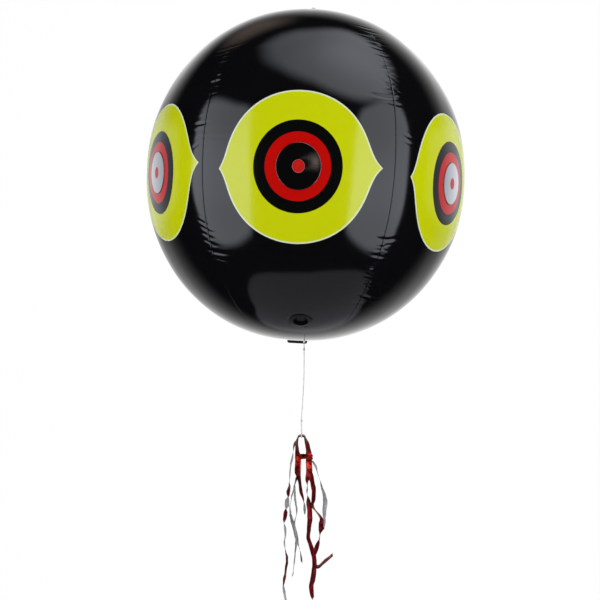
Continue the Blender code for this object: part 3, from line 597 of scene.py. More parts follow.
def make_pupil(panel):
    """A disc: rings of places at radius r and angle a, laid on the film at (r cos a, r sin a).

    The rings go from its middle out to its rounded edge, down to the clearance, and back underneath."""
    inner = np.linspace(PUPIL_INNER_SHARE, PUPIL_OUTER_SHARE, PUPIL_RINGS)
    shares = np.concatenate([[0.0], inner, PUPIL_EDGE[:, 0]])
    thick = np.concatenate([np.ones(PUPIL_RINGS + 1), PUPIL_EDGE[:, 1]])
    angle = np.linspace(0.0, math.tau, PUPIL_COLUMNS, endpoint=False)
    radius = shares[:, None] * PUPIL_RADIUS
    flat = np.stack([radius * np.cos(angle), radius * np.sin(angle)], axis=-1)
    middle = np.array((PUPIL_SIDE, -EYE_DROP)) + np.array(PRINT_SHIFTS_MM[panel]) * MM
    longitude, latitude = np.moveaxis((middle + flat) / EQUATOR_RADIUS, -1, 0)
    lift = PUPIL_CLEARANCE + PUPIL_FOIL * thick[:, None]
    places = film(longitude, latitude, panel, lift)
    faces = grid_faces(len(places), len(angle), round_columns=True)[:, ::-1]
    uv = UV_MIDDLE + flat.reshape(-1, 2)
    piece = new_piece(f"foil_pupil_{panel + 1}", places.reshape(-1, 3), faces, uv)
    close_ends(piece)
    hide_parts(f"pupil_{panel + 1}")
    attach(piece, "balloon")
    return piece


pupils = [make_pupil(panel) for panel in range(PANELS)]
print("pupils:", len(pupils), "of", len(pupils[0].data.polygons), "faces")

# %% [markdown]
# ## The tassel
# Four foil ribbons, red on one side and silver on the other, are folded over the string's loop. A strip
# of the same foil ties their legs together. Below it they hang free, twisted and kinked from their
# packing. A ribbon is a thin profile carried along a path that was read from the picture, and its twist
# decides which side shows: a turn of 1 shows the red side, -1 the silver side, and 0 the edge.

# %% Ribbon routes
RIBBON_FOIL = 0.00012
RIBBON_PITCH = 0.0006
ARCH_RADIUS = 0.00115
ARCH_WIDENING = 0.0022
ARCH_POINTS = 9
TASSEL_DROP = 0.2
TASSEL_REACH = 0.04
RIBBON_ROW_STEP = 0.0011

# Hundredths of the reach sideways, of the drop, and of a quarter turn of the whole pack
LEFT_LEG = (
    (-11.5, -1.8, 10), (-14, -4.5, 25), (-13, -9, 40), (-11, -13.5, 90), (-11, -16.5, 100),
    (-12, -20, 100), (-12, -23, 90),
)
RIGHT_LEG = (
    (11.5, -1.8, 10), (16.5, -4.5, 30), (21, -9, 45), (24, -13.5, 90), (24, -16.5, 90), (25, -20, 80),
    (25, -23, 90),
)
# How many of the legs' points each ribbon follows
PACKED_LEFT = (7, 7, 7, 0)
PACKED_RIGHT = (7, 7, 7, 4)

# Free tails: hundredths of the reach sideways, of the drop, of the reach backwards and of the turn
LEFT_TAILS = (
    ((-15, -27, 5, 30), (-24, -33, 14, 8), (-34, -41, 28, 6), (-40, -50, 36, -10), (-34, -57, 36, -26),
     (-27, -61, 36, -30), (-19, -68, 36, -26), (-13, -73, 36, -10), (-6, -78, 36, 16), (0, -86, 36, 20)),
    ((-17, -26, 0, -6), (-22, -31, 2, -12), (-24, -35, 5, -22), (-22, -41, 11, -12), (-17, -48, 12, -8),
     (-17, -52, 12, -8), (-23, -57, 12, -8), (-20, -64, 12, -10), (-18, -70, 12, -15),
     (-22, -78, 12, -13), (-24, -85, 12, -8), (-29, -93, 12, -6)),
    ((-9, -26, -5, 50), (-4, -31, -7, 40), (0, -36, -9, 42), (6, -40, -9, 30), (10, -45, -9, -20),
     (12, -50, -9, -12)),
    ((-17, -2.5, 0, 10), (-24, -5.5, -2, 20), (-29, -12, -6, -12), (-33, -17, -12, -16),
     (-37, -25, -24, -3), (-38, -30, -32, 22), (-40, -33.5, -36, 42), (-43, -36.5, -36, 30),
     (-44.5, -38.5, -36, -30), (-45, -41, -36, -50), (-45.5, -44, -36, -40), (-48, -46.5, -36, 35),
     (-52, -50, -36, 45), (-56, -54, -36, 12), (-51, -58, -36, -18), (-50, -62, -36, -18),
     (-53, -68, -36, -10), (-47, -75, -36, 25), (-45, -78, -36, 26), (-50, -87, -36, 26),
     (-55, -93, -36, 22), (-56, -97, -36, -8), (-48, -106, -36, -10)),
)
RIGHT_TAILS = (
    ((24, -26, 3, 90), (22, -29, 6, 60)),
    ((31, -26, 0, 60), (37, -31, 2, 45), (40, -36, 6, 50), (39, -42, 12, 50), (35, -45.5, 14, 35),
     (45, -49, 14, 4), (62, -53.5, 14, 12), (66, -59.5, 14, 95), (61, -66, 14, 10), (49, -74.5, 14, 60),
     (43, -82, 14, 15), (46, -86, 14, 20), (58, -86.5, 14, 18), (72, -84, 14, 15), (86, -81.5, 14, 15),
     (104, -78.5, 14, 12)),
    ((20, -27, -5, 50), (20, -32, -9, -8), (19, -37, -14, -6), (23, -42, -15, 50), (27, -47, -15, 60),
     (28, -54, -15, 62), (25, -60, -15, 50), (24, -66, -15, 35), (37, -74.5, -15, 42),
     (42, -78.5, -15, 50), (43, -85, -15, 58), (38, -93, -15, 60), (33, -97, -15, 50),
     (35, -102.5, -15, 35), (39, -105.5, -15, 15)),
    ((32, -15.2, -1, -20), (46, -18.5, -6, -32), (52, -22, -10, -18), (59, -26.5, -16, -6),
     (66, -30.6, -22, -25), (75, -36, -28, -42), (78, -41, -30, -50), (75, -47.6, -30, -42),
     (76, -53.5, -30, -16), (74, -58, -30, -10)),
)


def packed(leg, lane, outward):
    """Places of one ribbon down a leg, where the pack of ribbons turns together about the leg's line."""
    shift = lane * RIBBON_PITCH
    rows = []
    for side, down, quarter in np.array(leg).reshape(-1, 3) / 100:
        angle = quarter * math.pi / 2
        across = side * TASSEL_REACH + outward * shift * math.cos(angle)
        rows.append((across, -shift * math.sin(angle), down * TASSEL_DROP, quarter))
    return rows


def free(tail):
    """Places of a free tail, with its turn."""
    return [(side * TASSEL_REACH, back * TASSEL_REACH, down * TASSEL_DROP, quarter)
            for side, down, back, quarter in np.array(tail) / 100]


def ribbon_route(lane):
    """One ribbon's line from its left end up over the loop and down to its right end, with its turn."""
    radius = ARCH_RADIUS + lane * RIBBON_PITCH
    over = [((radius + ARCH_WIDENING) * math.cos(a), 0.0, radius * math.sin(a), 0.0)
            for a in np.linspace(math.pi, 0.0, ARCH_POINTS)]
    left = packed(LEFT_LEG[:PACKED_LEFT[lane]], lane, -1) + free(LEFT_TAILS[lane])
    right = packed(RIGHT_LEG[:PACKED_RIGHT[lane]], lane, 1) + free(RIGHT_TAILS[lane])
    low = smooth_path(left[::-1] + [over[0]], RIBBON_ROW_STEP)[:-1]
    high = smooth_path([over[-1]] + right, RIBBON_ROW_STEP)[1:]
    return np.vstack([low, over, high])


# %% Crinkled ribbons
RIBBON_COLUMNS = 9
KINK_HEIGHT = 0.00045
KINK_SPACING = 0.006
KINK_STEPS = (0.4, 1.6)
KINK_TWIST = 1.6
CURL_SHARE = 0.1
CURL_SLOWNESS = 3
CALM_DROP = 0.03
KINK_SEED, TWIST_SEED, CURL_SEED = 20, 30, 40


def kinks(travel, seed):
    """Foil keeps its kinks: straight runs between folds at uneven distances, in height -1 to 1."""
    chance = np.random.default_rng(seed)
    count = int(travel[-1] / KINK_SPACING) + 3
    stops = np.cumsum(chance.uniform(*KINK_STEPS, count)) * KINK_SPACING - KINK_SPACING
    return np.interp(travel, stops, chance.uniform(-1, 1, count))


def make_ribbon(lane):
    """A thin flat profile carried along the route.

    The width starts along the tail's front-to-back direction and turns about the path by quarter turns.
    With v from -1/2 to 1/2 across the ribbon, a cross-section is lifted by kink + twist * v and bowed by
    curl * (4 v^2 - 1). Both grow from nothing at the loop to their full size below the calm drop."""
    route = ribbon_route(lane)
    path, quarter = route[:, :3], route[:, 3] * math.pi / 2
    along = unit(np.gradient(path, axis=0))
    across = unit(np.array((0.0, 1.0, 0.0)) - along[:, 1:2] * along)
    outward = np.cross(along, across)
    width = across * np.cos(quarter)[:, None] + outward * np.sin(quarter)[:, None]
    normal = np.cross(width, along)
    travel = lengths_along(path)
    loose = np.clip(-path[:, 2] / CALM_DROP, 0.0, 1.0)
    v = np.linspace(-0.5, 0.5, RIBBON_COLUMNS)[None, :]
    twist = KINK_TWIST * kinks(travel, TWIST_SEED + lane)[:, None]
    kink = kinks(travel, KINK_SEED + lane)[:, None] + v * twist
    slow = kinks(travel / CURL_SLOWNESS, CURL_SEED + lane)[:, None]
    curl = CURL_SHARE * RIBBON_WIDTH * slow * (4 * v**2 - 1)
    bow = (KINK_HEIGHT * kink + curl) * loose[:, None]
    middle = path[:, None] + (v * RIBBON_WIDTH)[..., None] * width[:, None] + bow[..., None] * normal[:, None]
    half = normal[:, None] * RIBBON_FOIL / 2
    places = in_tail(np.concatenate([middle + half, (middle - half)[:, ::-1]], axis=1), TASSEL)
    rows, columns = places.shape[:2]
    caps = np.arange(RIBBON_COLUMNS - 1)
    start = np.stack([caps, columns - 1 - caps, columns - 2 - caps, caps + 1], axis=-1)
    stop = start[:, ::-1] + (rows - 1) * columns
    faces = np.concatenate([grid_faces(rows, columns, round_columns=True), start, stop])
    column = np.tile(np.arange(columns), rows - 1)
    end_faces = np.ones(2 * (RIBBON_COLUMNS - 1), bool)
    edges = np.concatenate([column % RIBBON_COLUMNS == RIBBON_COLUMNS - 1, end_faces])
    piece = new_piece(f"foil_ribbon_{lane + 1}", places.reshape(-1, 3), faces, edge_faces=edges)
    red = np.concatenate([column >= RIBBON_COLUMNS, ~end_faces])
    piece.data.polygons.foreach_set("material_index", red.astype(np.int32))
    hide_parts(f"ribbon_{lane + 1}")
    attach(piece, "tassel")
    print(f"ribbon {lane + 1}: {travel[-1] * 1000:.0f} mm, {len(faces)} faces")
    return piece


ribbons = [make_ribbon(lane) for lane in range(len(LEFT_TAILS))]

# %% [markdown]
# The tie is a strip of the same foil, wrapped round both legs. It is a closed band whose height narrows
# and slants at the front, where it is pulled tight between the legs.

# %% The tie
BAND_TOP = 0.0235
BAND_HEIGHT = 0.0055
BAND_FOIL = 0.0003
BAND_SIDE = 0.0032
BAND_HALF_WIDTH = 0.0112
BAND_HALF_DEPTH = 0.0052
BAND_SQUARENESS = 0.6
BAND_FRONT = 1.5 * math.pi
FRONT_REACH = 0.55
WAIST_SHARE = 0.52
SLANT_HEIGHT = 0.0014
SLANT_WAVES = 2.2
CRINKLE_DEPTH = 0.00022
# The two crossed sines: waves round the band, radians down it, and the phase
CRINKLES = ((9, 5, 0), (14, -3, 1))
DENT_SHARE = 0.02
BAND_ROWS = 8
BAND_COLUMNS = 120


def make_tie():
    """A closed band whose outline is a superellipse with the powers |cos|^squareness, |sin|^squareness.

    Near the front, weighted by exp(-(angle / reach)^2), the band is lower by the waist share and slants as
    a sine. Two crossed sines crinkle it, and a slow one dents it."""
    angle = np.linspace(0.0, math.tau, BAND_COLUMNS, endpoint=False)[None, :]
    row = np.linspace(0.0, 1.0, BAND_ROWS)[:, None]
    cosine, sine = np.cos(angle), np.sin(angle)
    from_front = angle - BAND_FRONT
    front = np.exp(-(from_front / FRONT_REACH) ** 2)
    slant = SLANT_HEIGHT * front * np.sin(from_front * SLANT_WAVES)
    x = BAND_HALF_WIDTH * np.sign(cosine) * np.abs(cosine) ** BAND_SQUARENESS
    y = BAND_HALF_DEPTH * np.sign(sine) * np.abs(sine) ** BAND_SQUARENESS
    sines = [np.sin(waves * angle + slope * row + phase) for waves, slope, phase in CRINKLES]
    crinkle = CRINKLE_DEPTH * sines[0] * sines[1]
    dent = 1 - DENT_SHARE * np.sin(3 * angle) + crinkle / BAND_HALF_DEPTH
    height = -BAND_TOP - BAND_HEIGHT * (0.5 + (row - 0.5) * (1 - WAIST_SHARE * front)) + slant
    shape = np.stack(np.broadcast_arrays(BAND_SIDE + x * dent, y * dent, height), axis=-1)
    faces = grid_faces(BAND_ROWS, BAND_COLUMNS, round_columns=True)[:, ::-1]
    piece = new_piece("foil_tie", in_tail(shape, TASSEL).reshape(-1, 3), faces)
    solidify = piece.modifiers.new("foil", "SOLIDIFY")
    solidify.thickness = BAND_FOIL / 2
    solidify.offset = 1.0
    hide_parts("ribbon_band")
    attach(piece, "tassel")
    return piece


tie = make_tie()
print("tie:", len(tie.data.polygons), "faces")

# %% [markdown]
# ## Writing shaders as sums
# A material is a tree of nodes, and long trees are hard to read. The class below wraps one socket and
# gives it +, - and *, so that a pattern can be written as a formula, which adds its Math nodes by itself.
# Everything else goes through one method that adds any node.

# %% A socket that does sums
class Wire:
    """One output socket. Sums with other wires or with numbers add Math nodes to its material."""

    def __init__(self, finish, socket):
        self.finish, self.socket = finish, socket

    def __add__(self, other):
        return self.finish.math("ADD", self, other)

    def __sub__(self, other):
        return self.finish.math("SUBTRACT", self, other)

    def __rsub__(self, other):
        return self.finish.math("SUBTRACT", other, self)

    def __mul__(self, other):
        return self.finish.math("MULTIPLY", self, other)

    __radd__ = __add__
    __rmul__ = __mul__


class Finish:
    """A material while it is made: its nodes, and the Principled shader that they feed.

    The colour and the roughness given first are plain values. A pattern set later takes their place."""

    def __init__(self, name, colour, roughness, metallic=0.0, **settings):
        self.material = bpy.data.materials.new(name)
        self.material.use_nodes = True
        self.tree = self.material.node_tree
        self.shader = self.tree.nodes["Principled BSDF"]
        self.set(Base_Color=(*colour, 1.0), Roughness=roughness, Metallic=metallic, **settings)

    def set(self, **inputs):
        """Give sockets of the shader a value or a wire. A name's low lines stand for spaces."""
        for name, value in inputs.items():
            self.feed(self.shader.inputs[name.replace("_", " ")], value)

    def show(self, shader):
        """Let the surface show another shader than the Principled one alone."""
        self.feed(self.tree.nodes["Material Output"].inputs["Surface"], shader)

    def feed(self, socket, value):
        if isinstance(value, Wire):
            self.tree.links.new(value.socket, socket)
        else:
            socket.default_value = value

    def node(self, kind, settings=None, inputs=None, output=0):
        """Add any node: its settings first, then its sockets by name or number, and return one output."""
        node = self.tree.nodes.new(kind)
        for name, value in (settings or {}).items():
            setattr(node, name, value)
        for name, value in (inputs or {}).items():
            self.feed(node.inputs[name], value)
        return Wire(self, node.outputs[output])

    def math(self, operation, *values):
        """One Math node on wires or numbers."""
        return self.node("ShaderNodeMath", {"operation": operation}, dict(enumerate(values)))

    def place(self):
        """The place on the piece, in the frame's metres."""
        return self.node("ShaderNodeTexCoord", output="Object")

    def eye_place(self, side=0.0, drop=0.0):
        """Across, along and the distance from an eye's middle, in metres, out of the print's UV map."""
        print_map = self.node("ShaderNodeUVMap", {"uv_map": "print"})
        split = self.node("ShaderNodeSeparateXYZ", None, {0: print_map})
        across = split - (UV_MIDDLE + side)
        along = Wire(self, split.socket.node.outputs[1]) - (UV_MIDDLE - drop)
        return across, along, self.math("SQRT", across * across + along * along)

    def noise(self, scale, detail):
        """A pattern from 0 to 1 with about scale spots a metre, and finer ones as the detail grows."""
        return self.node("ShaderNodeTexNoise", None, {
            "Vector": self.place(), "Scale": scale, "Detail": detail,
        })

    def step(self, value, edge, soft):
        """0 below the edge and 1 above it, over a soft width."""
        return self.node("ShaderNodeMapRange", {"interpolation_type": "SMOOTHSTEP"}, {
            "Value": value, "From Min": edge - soft / 2, "From Max": edge + soft / 2,
        })

    def mixed(self, mask, below, above):
        """Colour below where the mask is 0 and colour above where it is 1.

        The Mix node's two colours are its sockets 6 and 7, and its mixed colour is output 2."""
        sides = {0: mask, 6: below, 7: above}
        sides = {key: (*value, 1.0) if isinstance(value, tuple) else value for key, value in sides.items()}
        return self.node("ShaderNodeMix", {"data_type": "RGBA"}, sides, output=2)

    def bump(self, height, distance):
        """A normal for a surface whose pattern stands up to a distance in metres."""
        return self.node("ShaderNodeBump", None, {"Height": height, "Distance": distance})


# %% [markdown]
# ## The printed film
# The film is black and glossy, and the eyes are printed on it: a yellow-green field with a pale outline
# and two side tips, a black ring and a red ring. Rings round a centre are a traditional scare pattern.
# The UV map holds distances in metres, so the print is a formula on the distance from the eye's centre.

# %% Film with eyes
INK_YELLOW = (0.44, 0.475, 0.001)
INK_OUTLINE = (0.52, 0.56, 0.38)
INK_RED = (0.385, 0.002, 0.001)
INK_BLACK = (0.002, 0.0022, 0.002)
FILM_BLACK = (0.0024, 0.0022, 0.0026)
EYE_SIDE = 0.001
EYE_TILT = math.radians(2.4)
FIELD_RADIUS = 0.0772
LEFT_TIP_LENGTH = 0.0077
RIGHT_TIP_LENGTH = 0.0128
TIP_FADE = math.radians(6.5)
YELLOW_SHADE = 0.94
OUTLINE_WIDTH = 0.0016
BLACK_RING_RADIUS = 0.046
RED_RING_RADIUS = 0.034
INK_EDGE = 0.0003
PEEL_HEIGHT = 0.000012


def film_finish():
    """The print as steps of the distance. A tip adds length * exp(-angle / fade) to the field's radius."""
    finish = Finish("printed_film", FILM_BLACK, 0.09, IOR=1.5)
    across, along, distance = finish.eye_place(EYE_SIDE, EYE_DROP)
    tilted = along - across * math.tan(EYE_TILT)
    angle = finish.math("ARCTAN2", finish.math("ABSOLUTE", tilted), finish.math("ABSOLUTE", across))
    length = LEFT_TIP_LENGTH + finish.step(across, 0.0, INK_EDGE) * (RIGHT_TIP_LENGTH - LEFT_TIP_LENGTH)
    tip = finish.math("EXPONENT", angle * (-1 / TIP_FADE)) * length
    pointed = distance - tip
    grain = finish.noise(90, 2)
    yellow = finish.mixed(grain, INK_YELLOW, tuple(YELLOW_SHADE * value for value in INK_YELLOW))
    colour = FILM_BLACK
    for reach, radius, ink in (
        (pointed, FIELD_RADIUS, INK_OUTLINE),
        (pointed, FIELD_RADIUS - OUTLINE_WIDTH, yellow),
        (distance, BLACK_RING_RADIUS, INK_BLACK),
        (distance, RED_RING_RADIUS, INK_RED),
    ):
        colour = finish.mixed(1 - finish.step(reach, radius, INK_EDGE), colour, ink)
    field = 1 - finish.step(pointed, FIELD_RADIUS, INK_EDGE)
    haze = finish.noise(14, 3)
    peel = finish.noise(260, 2)
    finish.set(
        Base_Color=colour,
        Roughness=0.055 + haze * 0.05 + field * 0.03,
        Normal=finish.bump(peel, PEEL_HEIGHT),
    )
    return finish.material


def dress(pieces, *materials):
    """Give every piece the same materials, in their order."""
    for piece in pieces:
        for material in materials:
            piece.data.materials.append(material)


film_material = film_finish()
dress(panels, film_material)
print("film nodes:", len(film_material.node_tree.nodes))

# %% [markdown]
# ## Foil, string and soft PVC
# The pupils are mirror foil with a printed red dot. The ribbons are metallised on both sides, red on one.
# The string is matt, in two close whites, and the tabs and the valve are soft black PVC.

# %% Foil of the pupils
DOT_RADIUS = 0.0064
FOIL_SILVER = (0.8, 0.81, 0.83)
FOIL_EDGE = (0.2, 0.2, 0.22)
EDGE_START = 0.0225
FOIL_RAYS = 90
RAY_HEIGHT = 0.000004


def pupil_finish():
    """Mirror foil with a fine ray pattern, a darker edge and the printed dot."""
    finish = Finish("pupil_foil", FOIL_SILVER, 0.2, metallic=1.0)
    across, along, distance = finish.eye_place()
    dot = 1 - finish.step(distance, DOT_RADIUS, INK_EDGE)
    rays = finish.math("SINE", finish.math("ARCTAN2", along, across) * FOIL_RAYS)
    smear = finish.noise(60, 2)
    foil = finish.mixed(finish.step(distance, EDGE_START, INK_EDGE), FOIL_SILVER, FOIL_EDGE)
    finish.set(
        Base_Color=finish.mixed(dot, foil, INK_RED),
        Metallic=1 - dot,
        Roughness=0.05 + smear * 0.04 + dot * 0.2,
        Normal=finish.bump(rays, RAY_HEIGHT),
    )
    return finish.material


dress(pupils, pupil_finish())


# %% Foil of the ribbons
# The ribbons' painted highlight lies round this height and fades over this reach
HIGHLIGHT_HEIGHT = float(TASSEL[2]) - 0.034
HIGHLIGHT_REACH = 0.011
CRUMPLE_HEIGHT = 0.0008
# Each side's two shades in random patches, then the colour of its painted highlight
SILVER_SHADES_AND_HIGHLIGHT = ((0.36, 0.36, 0.355), (0.25, 0.245, 0.245), (0.42, 0.415, 0.41))
RED_SHADES_AND_HIGHLIGHT = ((0.24, 0.003, 0.006), (0.1, 0.002, 0.004), (0.8, 0.04, 0.016))


def ribbon_finish(name, colour, shade, highlight_colour, metallic):
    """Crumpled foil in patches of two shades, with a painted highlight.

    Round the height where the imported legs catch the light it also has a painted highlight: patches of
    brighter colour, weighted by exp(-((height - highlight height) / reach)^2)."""
    finish = Finish(name, colour, 0.35, metallic=metallic)
    split = finish.node("ShaderNodeSeparateXYZ", None, {0: finish.place()}, output=2)
    # How close a place is to the painted highlight's height, from 1 there down to 0
    drop = (split - HIGHLIGHT_HEIGHT) * (1 / HIGHLIGHT_REACH)
    near = finish.math("EXPONENT", drop * drop * -1.0)
    patches = finish.noise(75, 3)
    crumple = finish.noise(160, 2)
    base = finish.mixed(finish.step(patches, 0.5, 0.3), colour, shade)
    finish.set(
        # Painted highlight: brighter colour in crumple patches, strongest round the highlight height
        Base_Color=finish.mixed(near * finish.step(crumple, 0.48, 0.2), base, highlight_colour),
        Roughness=0.3 + patches * 0.2,
        Normal=finish.bump(crumple, CRUMPLE_HEIGHT),
    )
    return finish.material


silver_side = ribbon_finish("ribbon_silver", *SILVER_SHADES_AND_HIGHLIGHT, metallic=0.35)
red_side = ribbon_finish("ribbon_red", *RED_SHADES_AND_HIGHLIGHT, metallic=0.8)
dress(ribbons, silver_side, red_side)
# The tie shares the red foil and its painted highlight
dress([tie], red_side)


# %% String and soft PVC
def mottled_finish(name, colour, roughness, shades, patches, grain, least, spread, height, by_grain=False,
                   **settings):
    """Patches of two shades, and a fine grain whose bumps have a height.

    Patches and grain are given as the scale and the detail of a noise. The roughness rises from its
    least by up to a spread, with the patches or with the grain."""
    finish = Finish(name, colour, roughness, **settings)
    patches = finish.noise(*patches)
    grain = finish.noise(*grain)
    finish.set(
        Base_Color=finish.mixed(patches, *shades),
        Roughness=least + (grain if by_grain else patches) * spread,
        Normal=finish.bump(grain, height),
    )
    return finish.material


string_white = mottled_finish(
    "string_white", (0.45, 0.45, 0.44), 0.85, shades=((0.56, 0.56, 0.55), (0.46, 0.46, 0.45)),
    patches=(60, 2), grain=(2600, 3), least=0.75, spread=0.2, height=0.00012, by_grain=True,
)
soft_pvc = mottled_finish(
    "soft_pvc", (0.01, 0.01, 0.012), 0.35, shades=((0.008, 0.008, 0.009), (0.016, 0.016, 0.018)),
    patches=(70, 3), grain=(900, 3), least=0.26, spread=0.2, height=0.00003, IOR=1.5,
)
# The valve is moulded PVC, black like the film and less glossy
valve_pvc = mottled_finish(
    "valve_pvc", FILM_BLACK, 0.4, shades=(FILM_BLACK, (0.0036, 0.0033, 0.0039)),
    patches=(120, 2), grain=(120, 2), least=0.32, spread=0.12, height=0.00005, IOR=1.35,
)
dress(string_pieces, string_white)
KEPT_NODES = ("top_patch", "bottom_patch", "hang_tab", "bottom_tab", "valve_seat", "valve_stem", "valve_plug",
              "valve_strap", "valve_flap")
for name in KEPT_NODES:
    node = frame["nodes"][name]
    node.data.materials.clear()
    dress([node], valve_pvc if name.startswith("valve") else soft_pvc)
print("materials:", sorted(material.name for material in bpy.data.materials if material.users))

# %% [markdown]
# ## Floor, backdrop and light
# A black mirror-like ball is lit by what it reflects, so the studio matters as much as the ball. Two tall
# soft lights stand left and right and a long one hangs above. A broad one behind gives the bright rim and
# one below the pale underside. Small fills light the side eyes, and two warm ones are faint reflections.
# Towards the camera the studio is dark, which keeps the film black there.

# %% Floor and backdrop
FLOOR_Z = -1.75
SWEEP_LEFT = -1.9
SWEEP_RIGHT = 3.1
SWEEP_FRONT = -1.1
SWEEP_BACK = 2.3
SWEEP_TOP = 2.6
SWEEP_CORNER = 0.7
FLAT_ROWS = 8
CORNER_ROWS = 17
SWEEP_COLUMNS = 12
PALE = (0.8, 0.8, 0.8)
PALER = (0.82, 0.82, 0.82)
SWEEP_GLOW = 0.985


def make_sweep():
    """One pale sheet: flat floor, a quarter-round corner at the back, then a wall straight up."""
    flat = np.linspace(SWEEP_FRONT, SWEEP_BACK - SWEEP_CORNER, FLAT_ROWS)[:-1]
    corner = np.linspace(0.0, math.pi / 2, CORNER_ROWS)
    wall = np.linspace(FLOOR_Z + SWEEP_CORNER, SWEEP_TOP, FLAT_ROWS)[1:]
    bend_y = SWEEP_BACK - SWEEP_CORNER * (1 - np.sin(corner))
    bend_z = FLOOR_Z + SWEEP_CORNER * (1 - np.cos(corner))
    y = np.concatenate([flat, bend_y, np.full(len(wall), SWEEP_BACK)])
    z = np.concatenate([np.full(len(flat), FLOOR_Z), bend_z, wall])
    x = np.linspace(SWEEP_LEFT, SWEEP_RIGHT, SWEEP_COLUMNS)
    places = np.stack(np.broadcast_arrays(x[None, :], y[:, None], z[:, None]), axis=-1)
    return new_piece("pale_sweep", places.reshape(-1, 3), grid_faces(len(y), len(x)))


def sweep_finish():
    """Pale paper. Camera rays see it raised towards white, which keeps the shadow but hides the corner."""
    finish = Finish("pale_paper", PALE, 0.9)
    path = finish.node("ShaderNodeLightPath", output="Is Camera Ray")
    finish.set(Base_Color=finish.mixed(finish.noise(6, 2), PALE, PALER))
    white = finish.node("ShaderNodeEmission", None, {"Color": (1.0, 1.0, 1.0, 1.0), "Strength": 1.0})
    paper = Wire(finish, finish.shader.outputs[0])
    finish.show(finish.node("ShaderNodeMixShader", None, {0: path * SWEEP_GLOW, 1: paper, 2: white}))
    return finish.material


sweep = make_sweep()
dress([sweep], sweep_finish())
sweep.visible_glossy = False
print("sweep:", len(sweep.data.polygons), "faces, floor at", FLOOR_Z)


# %% [markdown]
# Each light is a sheet that fades towards its rim, as a soft box does. Its outline is given by directions
# from the middle of the ball, because a direction is what a mirror shows, and so are the spots where its
# brightness is set. The sheets stand two metres away, out of every camera's way, and their light adds up
# where they overlap.

# %% Soft lights
LIGHT_DISTANCE = 2.0
LEVEL_REACH = math.radians(16)
LEAST_WEIGHT = 1e-6
RIM_STEP = math.radians(4)
SHEET_RINGS = 28
COOL = (0.93, 0.98, 1.08)
NEUTRAL = (1.0, 1.0, 1.0)
FLOOR_TINT = (0.97, 0.96, 1.08)
WARM = (1.2, 0.95, 0.8)


def towards(azimuth, elevation):
    """Direction from the ball's middle: azimuth from the camera's side towards +X, elevation upwards."""
    a, e = np.radians(azimuth), np.radians(elevation)
    return np.stack([np.sin(a) * np.cos(e), -np.cos(a) * np.cos(e), np.sin(e)], axis=-1)


def soft_light(name, middle, outline, fade, levels, colour=COOL):
    """A glowing sheet: rings of places between its middle and its outline.

    The light falls from full to none over the last share of the way to the rim, as s^2 (3 - 2 s). Its
    brightness is the mean of the levels (azimuth, elevation, radiance), weighted by
    exp(-(angle / reach)^2), where 2 (1 - cos(angle)) stands for the angle's square."""
    rim = smooth_path(towards(*np.transpose([*outline, outline[0]])), RIM_STEP)
    rim = unit(rim[:-1])
    centre = towards(*middle)
    share = np.linspace(0.0, 1.0, SHEET_RINGS)[:, None]
    places = centre + share[..., None] * (rim - centre)
    spots = np.array(levels, float)
    closeness = unit(places) @ towards(spots[:, 0], spots[:, 1]).T
    weight = np.exp(-2 * (1 - closeness) / LEVEL_REACH**2) + LEAST_WEIGHT
    soft = np.clip((1 - share) / fade, 0.0, 1.0)
    radiance = soft**2 * (3 - 2 * soft) * (weight @ spots[:, 2]) / weight.sum(axis=-1)
    faces = grid_faces(SHEET_RINGS, len(rim), round_columns=True)
    sheet = new_piece(name, (BALL_CENTRE + LIGHT_DISTANCE * places).reshape(-1, 3), faces)
    glow_level = sheet.data.attributes.new("radiance", "FLOAT", "POINT")
    glow_level.data.foreach_set("value", radiance.ravel().astype(np.float32))
    close_ends(sheet)
    dress([sheet], glow(name, colour))
    sheet.visible_camera = False
    sheet.visible_shadow = False
    return sheet


def glow(name, colour):
    """Light of the sheet's own radiance, added to whatever stands behind the sheet."""
    finish = Finish(f"{name}_glow", (0.8, 0.8, 0.8), 0.5)
    radiance = finish.node("ShaderNodeAttribute", {"attribute_name": "radiance"}, output=2)
    light = finish.node("ShaderNodeEmission", None, {"Color": (*colour, 1.0), "Strength": radiance})
    clear = finish.node("ShaderNodeBsdfTransparent")
    finish.show(finish.node("ShaderNodeAddShader", None, {0: light, 1: clear}))
    return finish.material


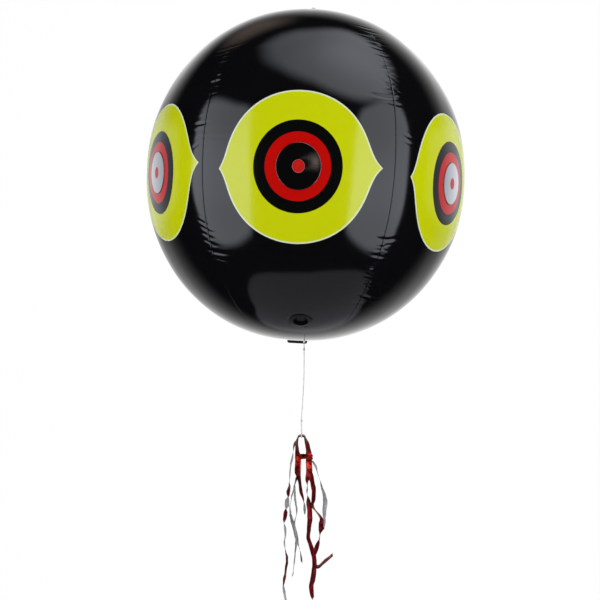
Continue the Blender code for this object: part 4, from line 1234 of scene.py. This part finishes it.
lights = [
    soft_light("left_light", (-52, -2), (
        (-79, -30), (-80, -8), (-80, 12), (-80, 30), (-73, 38), (-45, 37), (-31, 33), (-26, 10),
        (-25, -10), (-28, -34), (-38, -41), (-52, -43), (-67, -40),
    ), 0.14, ((-70, 30, 1.6), (-42, 28, 1.6), (-70, 5, 2.5), (-40, 0, 2.3), (-70, -25, 2.1),
              (-45, -30, 2.0))),
    soft_light("right_light", (51, 0), (
        (77, -37), (77, -10), (77, 8), (79, 26), (77, 37), (68, 42), (45, 41), (31, 34), (25, 8),
        (25, -20), (28, -34), (42, -41), (60, -42),
    ), 0.14, ((60, 30, 1.8), (40, 25, 1.8), (65, 0, 2.4), (40, -5, 2.4), (50, -30, 2.0))),
    soft_light("top_light", (40, 68), (
        (-85, 67), (-50, 61), (-16, 54), (3, 47), (17, 42), (34, 38), (54, 37), (70, 40), (86, 46),
        (100, 51), (116, 56), (135, 63), (155, 70), (175, 76), (-150, 78), (-110, 74),
    ), 0.3, ((-60, 70, 0.9), (0, 62, 1.3), (30, 50, 1.7), (60, 48, 2.0), (45, 66, 2.6), (110, 66, 1.3),
             (-120, 84, 0.8))),
    soft_light("back_light", (180, 0), (
        (108, -5), (110, 25), (118, 45), (134, 60), (160, 66), (180, 67), (206, 62), (228, 50),
        (245, 30), (252, 5), (252, -20), (248, -38), (230, -54), (205, -61), (180, -64), (150, -66),
        (128, -60), (112, -32),
    ), 0.6, ((180, 5, 1.8), (165, 5, 1.0), (148, 5, 0.8), (125, 5, 0.7), (-165, 5, 0.9), (-150, 5, 0.65),
             (-135, 5, 0.6), (-120, 5, 0.5), (-150, 42, 1.6), (150, 42, 1.5), (128, 40, 1.0),
             (-130, -35, 0.7), (180, 55, 1.5), (128, -35, 0.8), (150, -45, 1.0), (180, -45, 1.3),
             (-160, -45, 0.9)), NEUTRAL),
    soft_light("left_fill", (-120, 5), (
        (-145, -8), (-145, 18), (-120, 22), (-94, 17), (-94, -8), (-120, -12),
    ), 0.35, ((-120, 5, 0.38),)),
    soft_light("right_fill", (118, 8), (
        (142, -5), (142, 21), (118, 25), (94, 20), (94, -5), (118, -10),
    ), 0.35, ((118, 8, 0.42),)),
    soft_light("warm_card", (5, 5.5), (
        (0.5, 5.5), (4, 8.5), (8, 10), (9.5, 5.5), (8, 1), (4, 3),
    ), 0.8, ((5, 5.5, 0.13),), WARM),
    soft_light("upper_left_glow", (-135, 62), (
        (-98, 58), (-112, 48), (-135, 44), (-160, 50), (-175, 62), (-165, 74), (-135, 76), (-108, 70),
    ), 0.8, ((-135, 62, 0.28),), WARM),
    soft_light("floor_light", (20, -86), (
        (0, -57), (-30, -56.5), (-52, -56.5), (-74, -60), (-97, -63), (-120, -64), (-140, -58),
        (-160, -50), (180, -48), (160, -50), (140, -52), (125, -54), (100, -54), (78, -50), (61, -49.5),
        (30, -54),
    ), 0.06, ((0, -70, 0.37), (-150, -65, 0.33), (150, -60, 0.4)), FLOOR_TINT),
]
print("lights:", [light.name for light in lights])

# %% World
STUDIO_FILL = 0.5
STUDIO_DARK = 0.003


def make_world():
    """White for the camera, a low even fill for matt surfaces, and a dark studio for reflections."""
    world = bpy.data.worlds.new("studio")
    bpy.context.scene.world = world
    world.use_nodes = True
    tree = world.node_tree
    background = tree.nodes["Background"]
    background.inputs["Color"].default_value = (1.0, 1.0, 1.0, 1.0)
    path = tree.nodes.new("ShaderNodeLightPath")
    fill = tree.nodes.new("ShaderNodeMix")
    fill.inputs["A"].default_value = STUDIO_FILL
    fill.inputs["B"].default_value = STUDIO_DARK
    seen = tree.nodes.new("ShaderNodeMix")
    seen.inputs["B"].default_value = 1.0
    tree.links.new(path.outputs["Is Glossy Ray"], fill.inputs["Factor"])
    tree.links.new(fill.outputs["Result"], seen.inputs["A"])
    tree.links.new(path.outputs["Is Camera Ray"], seen.inputs["Factor"])
    tree.links.new(seen.outputs["Result"], background.inputs["Strength"])


make_world()
bpy.context.scene.view_settings.view_transform = "Standard"
